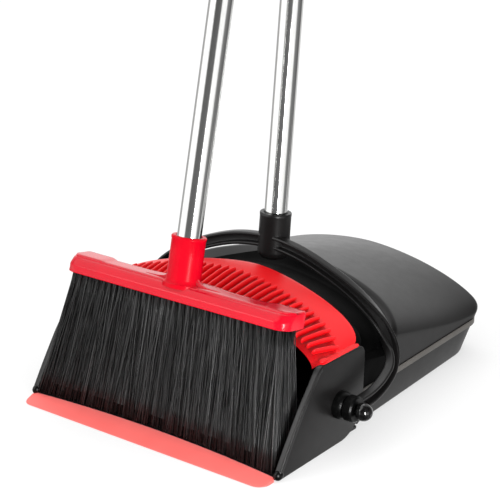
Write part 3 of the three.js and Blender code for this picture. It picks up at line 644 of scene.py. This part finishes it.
def make_lip():
    """The soft lip: its section as [share of its width, height], narrowing into rounded ends."""
    half, corner = 152.9, 12.0
    section = [
        (0.0, 0.5), (0.03, 1.0), (0.08, 1.35), (0.2, 1.75), (0.4, 2.5), (0.6, 3.15), (0.8, 3.5), (0.96, 3.6),
        (1.0, 3.2), (1.0, 0.3), (0.96, 0.02), (0.5, 0.02), (0.06, 0.02),
    ]
    ends = [-half + corner * (1 - cos(radians(a))) for a in range(0, 90, 10)]
    rings = []
    for x in ends + spread(60, -half + corner, half - corner) + [-x for x in ends[::-1]]:
        inward = max(0.0, corner - (half - abs(x)))
        front = corner - sqrt(max(0.0, corner * corner - inward * inward))
        rear = floor_front(x, 0) if abs(x) < CHEEK_INNER - 0.4 else 19.0
        rings.append([at(x, front + share * (rear - front), z) for share, z in section])
    shell("soft_lip", rings, LIP_RED, "pan", "pan_lip")


# ---------------- comb

COMB_HALF = 150.2
COMB_SWELL = 5.0  # how far the band bulges upwards between its edges
END_LIMIT = 0.998  # shares of the half width that the ribs stay within
RIBS = 35
RIB_HALF = 1.5  # half width of a rib


def comb_rear(share):
    """Point of the band's rear edge, just in front of the hood, as [across, depth, height]."""
    z = SHOULDER + 1.5 + FRONT_RISE * front_share(share)
    return Vector((share * COMB_HALF, hood_front(z) - GAP, z))


def comb_front(share):
    """Point of the band's front edge."""
    rise = arch_share(share)
    return Vector((share * COMB_HALF, 93 + 19 * rise, 93 + 31 * rise))


def comb_point(share, back):
    """Point of the band's surface, back from 0 at its front edge to 1 at its rear edge."""
    p = comb_front(share).lerp(comb_rear(share), back)
    crest = sqrt(0.02)
    swell = (hypot(2 * back - 1, crest) - crest) / (hypot(1, crest) - crest)
    p.z += COMB_SWELL * arch_share(share) * (1 - swell)
    return p


def groove_reach(share):
    """How far back the comb's grooves go, as a share of its depth."""
    return lerp(0.52, 0.42, abs(share) ** 3)


def comb_foot(depth):
    """Height of the comb's ends, which lie on the cheeks."""
    return lerp(94.7, 93.3, (depth - 94) / 56)


def square_behind(share, edge, tangent, back):
    """Sideways share of the point squarely behind a point of the front edge."""
    for _ in range(8):
        here = (comb_point(share, back) - edge).dot(tangent)
        beside = (comb_point(share + 0.001, back) - edge).dot(tangent)
        share = max(-END_LIMIT, min(END_LIMIT, share - 0.001 * here / (beside - here)))
    return share


def make_band():
    """The band, with its ribbed front part sunk and painted a darker red for shade, and its ends lying on the
    cheeks.
    """
    shares = [sin(pi * (t - 0.5)) for t in spread(140)]
    end_rings, under_points = 3, 6
    rings = []
    for s in [shares[0]] * end_rings + shares + [shares[-1]] * end_rings:
        rear, front = comb_rear(s), comb_front(s)
        reach = groove_reach(s)
        backs = spread(8, 1.0, reach + 0.04) + [reach, reach - 0.04, reach - 0.08]
        backs += spread(5, (reach - 0.08) * 0.85, 0.0)
        top = []
        for b in backs:
            sunk = 2.4 * ease((reach + 0.02 - b) / 0.1)
            p = comb_point(s, b) - Vector((s * 0.3, 0, 1)) * sunk
            top.append(Vector((p.x, p.y, max(p.z, comb_foot(p.y)))))
        under = Vector((-s * 3, -HOOD_LEAN * 3, -3))
        low = [p + under * 1.5 for p in (front, comb_point(s, reach / 2), comb_point(s, reach))]
        low += [p + under for p in (comb_point(s, reach + 0.06), comb_point(s, 0.8), rear)]
        rings.append(top + low)
    n = len(rings[0])
    for side, first in ((-1, 0), (1, len(rings) - end_rings)):
        for k in range(end_rings):
            out = (end_rings - k if side < 0 else k + 1) / end_rings
            foot = []
            for j, p in enumerate(rings[first + k]):
                back = lerp(96.5 + 3 * out ** 2, 154.5 - 2.5 * out ** 3, (p.y - 93) / 59)
                high = comb_foot(back) - (0.5 * out ** 2 if j < n - under_points else 1.3)
                foot.append(Vector((side * (150.4 + 5.5 * out), back, high)))
            rings[first + k] = foot
    rings = [[at(*p) for p in ring] for ring in rings]
    obj = shell("comb_band", rings, COMB_RED, "pan", "comb", sharp=60)
    obj.data.materials.append(PAINTED_SHADE_RED)
    # Painted shade: the upward faces of the sunk, ribbed front part take the darker red.
    for face in obj.data.polygons:
        share = face.center.x / MM / COMB_HALF
        if abs(share) < 1 and face.normal.z > 0.2:
            front, rear = comb_front(share), comb_rear(share)
            back = ((face.center.y - FRONT) / MM - front.y) / (rear.y - front.y)
            face.material_index = int(back < groove_reach(share) + 0.02)
    return rounded(obj, 0.7, 3, 60)


def rib_rings(edge, k):
    """One rib, running squarely back from a point of the band's front edge."""
    start = edge[k]
    tangent = (edge[k + 2] - edge[k - 2]).normalized()
    share = max(-END_LIMIT, min(END_LIMIT, start.x / COMB_HALF))
    backs = spread(9, groove_reach(share) + 0.05, 0.0)
    spine = [comb_point(square_behind(share, start, tangent, b), b) for b in backs]
    forward = (spine[-1] - spine[-3]).normalized()
    spine += [spine[-1] + forward * d for d in (1.5, 2.8, 3.9)]
    last = len(spine) - 1
    rings = []
    for j, p in enumerate(spine):
        along = (spine[min(j + 1, last)] - spine[max(j - 1, 0)]).normalized()
        across = (tangent - along * tangent.dot(along)).normalized()
        up = across.cross(along)
        tip = min(1.0, (last - j) / 2.6)
        size = sqrt(max(0.05, 1 - (1 - tip) ** 2))
        high = (2.0 + 1.4 * min(1.0, j / 3)) * size
        ring = []
        for a in circle(16):
            c, h = cos(a), sin(a)
            wide = RIB_HALF * size * copysign(abs(c) ** 0.75, c)
            ring.append(at(*(p + across * wide + up * (high * copysign(abs(h) ** 0.85, h) - 2.0))))
        rings.append(ring)
    return rings


def make_comb():
    band = make_band()
    steps = 400
    edge = resample([comb_front(sin(pi * (t - 0.5))) for t in spread(steps)], steps)
    starts = [int(steps * lerp(0.04, 0.96, i / (RIBS - 1))) for i in range(RIBS)]
    verts, faces = gathered(rib_rings(edge, k) for k in starts)
    teeth = piece("comb_teeth", verts, faces, COMB_RED, "pan", ["comb"], sharp=60)
    band.visible_glossy = teeth.visible_glossy = False
    for side, label in SIDES:
        nub = ellipsoid(side, (151.6, 98.5, 95.0), (3.4, 5.5, 2.0), 10, 18)
        shell(f"comb_nub_{label}", nub, COMB_RED, "pan", "comb", caps=False)


# ---------------- bail and pivots

BAIL_RIDGE = [  # outer edge of the right half, from the crown to the pivot, as (across, depth, height)
    (0, 210, 153.4), (40, 210.2, 148.6), (80, 210.7, 135), (120.3, 213.2, 114.2), (150.5, 215.3, 91),
    (164.7, 212.5, 70), (171.3, 200, 53.3), (174.5, 180, 43), (176.5, 155, 37.5), (177, 128, 36.5),
]


def make_bail(pole):
    """The channel, open towards the mouth at its crown and outwards on its arms, and the hub for the pole."""
    steps = 220
    right = [at(*p) for p in BAIL_RIDGE]
    left = [at(-x, y, z) for x, y, z in BAIL_RIDGE[:0:-1]]
    section = softened(
        [(0, 0), (0, -10), (14, -10), (14, 0), (10.6, 0), (10.6, -6.6), (3.4, -6.6), (3.4, 0)],
        [1.6, 2.2, 2.2, 1.6, 1.2, 0.8, 0.8, 1.2], 4,
    )

    def opening(i, _):
        """The way the channel faces at a step of its path."""
        turn = ease((abs(2 * i / steps - 1) - 0.3) / 0.48) * pi / 2
        return Vector(((1 if 2 * i > steps else -1) * sin(turn), -cos(turn), 0))

    rings = swept(spline(left + right, steps), section, opening)
    shell("bail_channel", rings, BLACK, "handle", "bail")

    profile = [
        (0, -49), (10.5, -49), (13, -48), (15.6, -44.5), (16.5, -41), (16.3, -4), (16.5, -3.4), (16.5, -0.9),
        (16.1, -0.3), (12.9, -0.2), (BORE, -0.8), (BORE, -44), (0, -44),
    ]
    turned("bail_hub", profile, pole, BLACK, "handle", ["bail"])


def make_pivots():
    """On each side, from the cheek outwards: the boss, the bail's eye and the pin with its ball end."""
    for side, label in SIDES:
        out = Matrix(((0, 0, side, 0), (0, 1, 0, 0), (-side, 0, 0, 0), (0, 0, 0, 1)))
        place = Matrix.Translation(at(0, PIVOT_DEPTH, PIVOT_HEIGHT)) @ out
        eye = [(5.4, 166.2), (11.6, 166.2), (13, 167.6), (13, 175.6), (11.6, 177), (7.4, 177), (5.4, 176)]
        turned(f"bail_eye_{label}", eye + eye[:1], place, DEEP_BLACK, "handle", ["bail"])
        bush = [(5.3, 156.3), (14, 156.3), (14, 160), (13.2, 163.4), (11.6, 165.2), (5.3, 165.5)]
        turned(
            f"pivot_boss_{label}", bush + bush[:1], place, DEEP_BLACK, "pan", [f"pivot_bush_{label}"],
        )
        pin = [(0, 144.5), (8, 144.5), (9, 145.5), (9, 149.8), (8.4, 150.6), (5, 150.7), (5, 176.6)]
        centre = 184
        radius = BALL_END - centre
        for a in spread(18, 146, 0):
            pin.append((radius * sin(radians(a)), centre + radius * cos(radians(a))))
        turned(
            f"pivot_ball_{label}", pin, place, GLOSS_BLACK, "pan", [f"pivot_pin_{label}"],
            sides=48,
        )


# ---------------- poles

TUBE = 12.0  # outer radius of the tubes
BORE = 12.35  # inner radius of the parts that sit round a tube
STUB = 10.7  # radius of what sits inside a tube
JOINT_HALF = 2.8  # a tube ends this far from its joint's middle


def make_tube(name, low, high, place, body):
    inner, edge = TUBE - 1, TUBE - 0.25
    profile = [(inner, low), (edge, low), (TUBE, low + 0.3), (TUBE, high - 0.3), (edge, high), (inner, high)]
    return turned(name + "_tube", profile + profile[:1], place, STEEL, body, [name], sides=96)


def make_joint(name, middle, place, body):
    """Collar between two tubes, with a stub inside each."""
    collar, insert = 2.5, 24
    half = [(STUB, insert), (STUB, collar), (TUBE - 0.5, collar), (TUBE, collar - 0.5), (TUBE, 0.7)]
    half.append((TUBE - 0.5, 0.35))
    profile = [(0, middle - insert)] + [(r, middle - z) for r, z in half]
    profile += [(r, middle + z) for r, z in half[::-1]] + [(0, middle + insert)]
    return turned(name + "_collar", profile, place, SOFT_BLACK, body, [name])


def make_grip(name, top, place, body):
    """Sleeve with a row of shallow grooves."""
    low = top - 105
    profile = [(12.3, low), (13.2, low), (14.2, low + 1.2), (14.6, low + 3.5)]
    z = low + 8
    while z < top - 14:
        profile += [(14.5, z), (13.7, z + 0.9), (13.7, z + 2.1), (14.5, z + 3.0), (14.6, z + 4.6)]
        z += 6
    profile += [(14.9, top - 10), (14.9, top - 1.6), (14.2, top - 0.5), (13.2, top), (12.3, top), (12.3, low)]
    return turned(name + "_sleeve", profile, place, SOFT_BLACK, body, [name])


def make_cap(name, base, place, body):
    """End cap with a flat eye to hang the pole by."""
    stub = [(STUB * cos(b), STUB * sin(b)) for b in circle(48)]
    rings = [[put(place, x, y, base + z) for x, y in stub] for z in (-20, 0.3)]
    sizes = [(0.3, 14.2, 14.2), (0.9, 14.8, 14.8), (7, 14.8, 14.6), (9.5, 14.5, 11.5), (12, 14.3, 7.2)]
    sizes += [(14.5, 14.2, 5.2), (18, 14.0, 5.0), (22, 14.0, 5.0), (26, 14.0, 5.0)]
    for deg in (8, 20, 32, 44, 56, 67, 77, 85):
        a = radians(deg)
        sizes.append((28 + 17.2 * sin(a), 14 * cos(a) + 0.4, 5.0 - 1.6 * (deg / 90) ** 3))
    for z, half, thick in sizes:
        power = lerp(1.0, 0.55, ease((z - 8) / 8))
        ring = []
        for b in circle(48):
            across = half * copysign(abs(cos(b)) ** power, cos(b))
            through = thick * copysign(abs(sin(b)) ** power, sin(b))
            ring.append(put(place, across, through, base + z))
        rings.append(ring)
    obj = shell(name + "_eye", rings, BLACK, body, name, sharp=45)
    drill_place = place @ Matrix.Translation((0, 0, (base + 28) * MM)) @ Matrix.Rotation(pi / 2, 4, "X")
    drill = turned("drill", [(0, -20), (6, -20), (6, 20), (0, 20)], drill_place, BLACK, body, sides=40)
    modified(obj, "BOOLEAN", operation="DIFFERENCE", solver="EXACT", object=drill)
    bpy.data.objects.remove(drill)
    return rounded(obj, 0.7, 2, 40)


def make_clip(pan_place, broom_place):
    """Ring on the pan's pole, arm, and an open jaw that the broom's pole snaps into."""
    low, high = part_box("pole_clip")
    middle = (low.z + high.z) / 2

    def beside_clip(place):
        """The pole's frame, moved along the pole to the clip's height."""
        origin, axis = place.translation, place.to_3x3() @ Vector((0, 0, 1))
        moved = place.copy()
        moved.translation = origin + axis * ((middle - origin.z) / axis.z)
        return moved

    ring, jaw = beside_clip(pan_place), beside_clip(broom_place)
    h, radius, gap = 12.0, 15.6, 42
    profile = [(BORE, -h + 0.6), (12.9, -h), (15, -h), (radius, -h + 0.7)]
    profile += [(r, -z) for r, z in profile[::-1]] + profile[:1]
    turned("clip_ring", profile, ring, BLACK, "handle", ["pole_clip"])
    arc = [radians(a) for a in spread(44, gap - 90, 270 - gap)]
    outer = [(radius * cos(a), radius * sin(a)) for a in arc]
    inner = [(12.45 * cos(a), 12.45 * sin(a)) for a in arc]
    outline = inner + [(inner[-1][0] * 1.06 - 0.6, inner[-1][1] * 1.06 - 1.5)] + outer[::-1]
    outline += [(inner[0][0] * 1.06 + 0.6, inner[0][1] * 1.06 - 1.5)]
    rings = [[put(jaw, x, y, z) for x, y in outline] for z in (-h, h)]
    rounded(shell("clip_jaw", rings, BLACK, "handle", "pole_clip"), 0.5, 2, 50)
    front, back = jaw.translation, ring.translation
    stations = (
        (front + Vector((0, 15.2 * MM, 0)), 6, 9), (front.lerp(back, 0.5), 4.4, 7.5),
        (back - Vector((0, 13.4 * MM, 0)), 6, 9),
    )
    rings = []
    for p, wide, tall in stations:
        outline = softened([(-wide, -tall), (wide, -tall), (wide, tall), (-wide, tall)], 1.5, 3)
        rings.append([p + Vector((x * MM, 0, z * MM)) for x, z in outline])
    shell("clip_arm", rings, BLACK, "handle", "pole_clip")


# ---------------- broom

HEAD_HALF = 133.5
HEAD_DEPTH = 38.8
HEAD_HEIGHT = 16.2
BROOM_SIDE = -1.5  # how far the broom stands beside the pan's centre plane


def make_head(head):
    """The bar with its thicker end blocks, the socket, and a rib on each side of it."""
    lower_front = [
        (1.0, 0.0), (0.1, 0.25), (-0.15, 1.0), (-0.1, 1.9), (0.35, 2.5), (0.3, 4.5), (0.3, 6.4), (0.45, 7.4),
        (0.9, 8.3), (2.6, 10.4), (4.5, 12.6),
    ]
    rings = []
    corner, end = 14.0, 5.0
    front_end = [HEAD_HALF - corner * (1 - sin(radians(a))) for a in (0, 15, 30, 45, 58, 70, 80, 87)]
    xs = spread(110, -HEAD_HALF + corner, HEAD_HALF - corner)
    xs = [-x for x in front_end[::-1]] + xs[1:-1] + front_end
    for x in xs:
        past = max(0.0, abs(x) - (HEAD_HALF - corner))
        front = -HEAD_DEPTH / 2 + corner - sqrt(max(0.0, corner * corner - past * past))
        past = max(0.0, abs(x) - (HEAD_HALF - end))
        rear = HEAD_DEPTH / 2 - end + sqrt(max(0.0, end * end - past * past))
        block = ease((abs(x) - (HEAD_HALF - 44)) / 12)
        boss = 1 - ease((abs(x) - 26) / 26)
        rear -= 5 * (1 - max(block, boss))
        lift = 0.7 * block
        shut = max(0.0, abs(x) - (HEAD_HALF - 2.2)) / 2.2
        trim = 2.2 * (1 - sqrt(max(0.0, 1 - min(1, shut) ** 2)))
        top = HEAD_HEIGHT - trim + lift
        lead = front + 7.5
        step = 0.55 * (1 - block)
        ring = [(front + y, z) for y, z in lower_front] + [
            (front + 5.8, 13.8 - trim * 0.3), (lead, 14.6 - trim * 0.6),
            (lead + 0.5, 14.75 - step - trim * 0.6), (lead + 1.2, top - 0.7 - lift * 0.5),
            (lead + 3.0, top - 0.1 - lift * 0.1), (lead + 6, top),
            (0.0, top), (rear - 6, top), (rear - 2.6, top), (rear - 1.0, top - 0.7), (rear - 0.1, top - 2.6),
            (rear, top - lift - 5), (rear, 3.0), (rear - 0.3, 0.8), (rear - 1.2, 0.0),
        ]
        rings.append([put(head, x, y, z) for y, z in ring])
    bar = shell("broom_bar", rings, RED, "broom", "broom_head", sharp=28)

    profile = [
        (12.4, 11), (12.4, 60.6), (13.2, 62.3), (16.6, 62.3), (17.4, 61.4), (17.4, 59.6), (16.9, 58.8),
        (16.95, 40), (17.0, 28), (17.1, 21), (17.4, 18.6), (18.4, 17.1), (20.2, 16.1), (20.2, 12), (12.4, 11),
    ]
    socket = turned(
        "broom_socket", profile, head, SOCKET_RED, "broom", ["broom_head"], sharp=50,
    )
    for red in (socket, bar):
        red.visible_glossy = False
    rib = [(15, 15), (46, 15), (44, 16.5), (30, 17.0), (22, 18.4), (18, 21.5), (15, 23)]
    for side, label in SIDES:
        rings = [[put(head, side * x, y, z) for x, z in rib] for y in (-2.5, 1.5)]
        rounded(shell(f"broom_rib_{label}", rings, RED, "broom", "broom_head"), 0.9, 3)


def bristle_tip(side, deep):
    """Where a bristle ends over the floor; side and deep run from -1 to 1 across the head."""
    middle, half = 44.5, 21.5
    bow = 8 * (1 - side * side) if deep < 0 else 0
    return Vector((BROOM_SIDE + side * 148.3, middle + deep * half + bow * abs(deep), 0))


def strand_rings(rng, root, tip, tip_u):
    """One bristle, slightly bent, with three sides and a narrower tip."""
    size = rng.uniform(0.36, 0.56) * MM
    sway = Vector((rng.uniform(-1.6, 1.6), rng.uniform(-1.0, 1.0), 0)) * MM * (1 - abs(tip_u) ** 5)
    phase = rng.uniform(0, 6.28)
    spin = rng.uniform(0, 2.1)
    rings = []
    for t in spread(6):
        p = root.lerp(tip, t ** 1.04)
        p = p + sway * sin(pi * t) + sway * 0.35 * sin(5 * t + phase) * t
        grow = size * (1 - 0.35 * t ** 6)
        rings.append([p + Vector((cos(spin + b) * grow, sin(spin + b) * grow, 0)) for b in circle(3)])
    return rings


def make_bristles(head):
    """Tufts of strands in rows, and a dark core that closes the view through them."""
    rng = random.Random(7)
    bristles = []
    columns, rows = 34, 6
    strands = 27
    for c in range(columns):
        for r in range(rows):
            u = -1 + 2 * (c + 0.5) / columns
            w = -1 + 2 * (r + 0.5) / rows
            lean = Vector((rng.uniform(-2.5, 2.5), rng.uniform(-1.5, 1.5), 0))
            for _ in range(strands):
                a, q = rng.uniform(0, 2 * pi), sqrt(rng.random())
                root_x = u * 127 + 2.6 * q * cos(a)
                root_y = w * 14.2 + 1.9 * q * sin(a)
                root = put(head, root_x, root_y, 2.0)
                tip_u = max(-1, min(1, u + (1.35 / columns) * 2 * rng.uniform(-1, 1)))
                tip_w = max(-1, min(1, w + (1.5 / rows) * 2 * rng.uniform(-0.7, 0.7)))
                end = bristle_tip(tip_u, tip_w)
                x, depth = end.x + lean.x * (1 - abs(tip_u) ** 6), end.y + lean.y * (1 - abs(tip_w) ** 4)
                bristles.append(strand_rings(rng, root, at(x, depth, rng.uniform(3.9, 6.2)), tip_u))
    verts, faces = gathered(bristles)
    mesh = bpy.data.meshes.new("bristle_strands")
    mesh.from_pydata([tuple(v) for v in verts], [], faces)
    mesh.materials.append(BRISTLE)
    mesh.polygons.foreach_set("use_smooth", [True] * len(mesh.polygons))
    obj = linked("bristle_strands", mesh)
    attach(obj, "broom")
    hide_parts("bristles")

    outline = [
        (-1, -0.8), (-0.94, -1), (-0.5, -1), (0, -1), (0.5, -1), (0.94, -1), (1, -0.8),
        (1, 0.8), (0.94, 1), (0.5, 1), (0, 1), (-0.5, 1), (-0.94, 1), (-1, 0.8),
    ]
    rings = []
    for t in spread(5, 0.0, 0.92):
        ring = []
        for u, w in outline:
            root = put(head, u * 124, w * 11, -0.2)
            p = bristle_tip(u * 0.965, w * 0.78)
            ring.append(root.lerp(at(p.x, p.y, 4.4), t))
        rings.append(ring)
    shell("bristle_core", rings, BRISTLE, "broom", "bristles", sharp=60)


# ---------------- assembly

PAN_POLE_LEAN = radians(6.5)
PAN_POLE = leaning(at(0, 227.2, 174.6), Vector((0, sin(PAN_POLE_LEAN), cos(PAN_POLE_LEAN))))
BROOM_POLE = leaning(at(BROOM_SIDE, 74.1, 128.3), BROOM_AXIS)
HEAD = BROOM_POLE @ Matrix.Rotation(radians(2.4), 4, "Z")  # the head is turned a little on its pole

make_hood()
make_tray()
for side, label in SIDES:
    make_cheek(side, label)
make_trim()
make_lip()
make_comb()
make_bail(PAN_POLE)
make_pivots()

PAN_BASE, PAN_LENGTH = -43.0, 808.0
pan_top = PAN_BASE + PAN_LENGTH
pan_joint = PAN_LENGTH * 0.52
make_tube("pan_pole_lower", PAN_BASE, pan_joint - JOINT_HALF, PAN_POLE, "handle")
make_joint("pan_pole_joint", pan_joint, PAN_POLE, "handle")
make_tube("pan_pole_upper", pan_joint + JOINT_HALF, pan_top, PAN_POLE, "handle")
make_grip("pan_grip", pan_top - 44, PAN_POLE, "handle")
make_cap("pan_hang_cap", pan_top, PAN_POLE, "handle")
make_clip(PAN_POLE, BROOM_POLE)

BROOM_BASE, BROOM_LENGTH = 11.0, 1140.0
third = BROOM_LENGTH / 3
broom_top = BROOM_BASE + BROOM_LENGTH
first, second = BROOM_BASE + third, BROOM_BASE + 2 * third
make_head(HEAD)
make_bristles(HEAD)
make_tube("broom_pole_lower", BROOM_BASE, first - JOINT_HALF, BROOM_POLE, "broom")
make_joint("broom_pole_joint_lower", first, BROOM_POLE, "broom")
make_tube("broom_pole_middle", first + JOINT_HALF, second - JOINT_HALF, BROOM_POLE, "broom")
make_joint("broom_pole_joint_upper", second, BROOM_POLE, "broom")
make_tube("broom_pole_upper", second + JOINT_HALF, broom_top, BROOM_POLE, "broom")
make_grip("broom_grip", broom_top - 0.3, BROOM_POLE, "broom")
make_cap("broom_hang_cap", broom_top, BROOM_POLE, "broom")

for node in ("pan_pole_plug", "broom_pole_plug", "bristle_plate"):
    mesh = frame["nodes"][node].data
    mesh.materials.clear()
    mesh.materials.append(SOFT_BLACK)

# ---------------- stage, light, camera


def make_floor():
    """Pale paper. Most of its brightness is its own, so the object's shadow on it stays faint."""
    n = Nodes("floor_paper")
    paper = n.ramp(n.noise(3.0, 2.0), [(0.3, (0.86, 0.86, 0.86)), (0.7, (0.88, 0.88, 0.88))])
    n.set(Base_Color=paper, Roughness=0.9, Specular_IOR_Level=0.0)
    glow = n.add("ShaderNodeEmission", Color=(1, 1, 1, 1), Strength=1.0)
    seen = n.add("ShaderNodeLightPath").outputs["Is Camera Ray"]
    mix = n.add("ShaderNodeMixShader", Fac=n.between(seen, 0, 1, 0, 0.55))
    n.tree.links.new(n.shader.outputs[0], mix.inputs[1])
    n.tree.links.new(glow.outputs[0], mix.inputs[2])
    n.tree.links.new(mix.outputs[0], n.tree.nodes["Material Output"].inputs["Surface"])
    mesh = bpy.data.meshes.new("floor")
    size = 14.0
    corners = [(-size, -size, 0), (size, -size, 0), (size, size, 0), (-size, size, 0)]
    mesh.from_pydata(corners, [], [(0, 1, 2, 3)])
    mesh.materials.append(n.mat)
    obj = linked("floor", mesh)
    obj.visible_glossy = False


def make_light(name, place, target, width, height, power):
    """A soft rectangular light that the camera doesn't see."""
    data = bpy.data.lights.new(name, "AREA")
    data.shape = "RECTANGLE"
    data.size, data.size_y = width, height
    data.energy = power
    obj = linked(name, data)
    obj.location = place
    obj.rotation_euler = (Vector(target) - Vector(place)).to_track_quat("-Z", "Y").to_euler()
    obj.visible_camera = False


# The studio that polished surfaces mirror, as (degrees round from +X, brightness), near the horizon.
WALLS = [
    (-180, 0.5), (-171, 0.5), (-160, 1.5), (-104, 1.5), (-94, 0.17), (-44, 0.17), (-35, 1.35), (2, 1.35),
    (14, 0.3), (48, 0.16), (62, 0.16), (74, 0.8), (125, 0.8), (150, 0.5), (180, 0.5),
]
PLAIN_LIGHT = 1.12  # what the camera and matt surfaces see instead
# Soft boxes over the set: degrees round, degrees up, half size, soft edge, brightness.
BOXES = [(122, 34, 34, 16, 0.68), (-150, 52, 22, 14, 1.7), (50, -29, 7, 6, 1.0)]


def make_world():
    """Even white light, except to surfaces that mirror it, which see the studio above."""
    world = bpy.data.worlds.new("studio")
    bpy.context.scene.world = world
    world.use_nodes = True
    tree = world.node_tree
    background = tree.nodes["Background"]

    def add(kind, *values, **settings):
        node = tree.nodes.new("ShaderNode" + kind)
        for key, value in settings.items():
            setattr(node, key, value)
        for k, v in enumerate(values):
            if isinstance(v, bpy.types.NodeSocket):
                tree.links.new(v, node.inputs[k])
            else:
                node.inputs[k].default_value = v
        return node

    def maths(operation, a, b):
        return add("Math", a, b, operation=operation).outputs[0]

    def ranged(value, *ends):
        return add("MapRange", value, *ends).outputs[0]

    direction = add("TexCoord").outputs["Generated"]
    x, y, z = add("SeparateXYZ", direction).outputs
    walls = add("ValToRGB", ranged(maths("ARCTAN2", y, x), -pi, pi, 0.0, 1.0))
    peak = max(v for _, v in WALLS)
    while len(walls.color_ramp.elements) < len(WALLS):
        walls.color_ramp.elements.new(0.5)
    for element, (deg, v) in zip(walls.color_ramp.elements, WALLS):
        element.position = (deg + 180) / 360
        element.color = (v / peak, v / peak, v / peak, 1)
    height = ranged(z, 0.12, 0.4, peak, 0.12)
    foot = maths("MAXIMUM", ranged(z, -0.33, -0.24, 0.08, 1.0), ranged(y, 0.0, 0.2, 0.0, 1.0))
    total = maths("MULTIPLY", maths("MULTIPLY", walls.outputs[0], height), foot)
    for around, up, half, soft, level in BOXES:
        a, e = radians(around), radians(up)
        aim = (cos(a) * cos(e), sin(a) * cos(e), sin(e))
        near = add("VectorMath", direction, aim, operation="DOT_PRODUCT").outputs["Value"]
        glow = ranged(near, cos(radians(half + soft)), cos(radians(half)), 0.0, level)
        total = maths("ADD", total, glow)
    rays = add("LightPath").outputs
    mix = add("Mix", maths("MAXIMUM", rays["Is Camera Ray"], rays["Is Diffuse Ray"]))
    tree.links.new(total, mix.inputs[2])
    mix.inputs[3].default_value = PLAIN_LIGHT
    tree.links.new(mix.outputs[0], background.inputs["Strength"])
    background.inputs["Color"].default_value = (1, 1, 1, 1)


make_floor()
make_world()
make_light("key", (-0.9, 0.9, 1.9), (0, 0, 0.1), 1.2, 1.2, 7)
make_light("front", (-0.8, -1.5, 1.1), (0, -0.15, 0.0), 0.8, 0.8, 6.5)
make_light("low_side", (0.6, -0.42, 0.12), (0.15, -0.12, 0.05), 0.12, 0.3, 3.4)

camera = bpy.data.cameras.new("camera")
camera.lens = 129.6
camera.sensor_width = 36
camera.clip_start, camera.clip_end = 0.05, 60
view = linked("camera", camera)
forward = Vector((-0.5657, 0.7427, -0.3584)).normalized()
sideways = forward.cross(Vector((0, 0, 1))).normalized()
upwards = sideways.cross(forward)
turn = Matrix((sideways, upwards, -forward)).transposed().to_4x4()
view.matrix_world = Matrix.Translation(at(1033.9, -1174.2, 800.6)) @ turn
bpy.context.scene.camera = view
bpy.context.scene.view_settings.view_transform = "Standard"
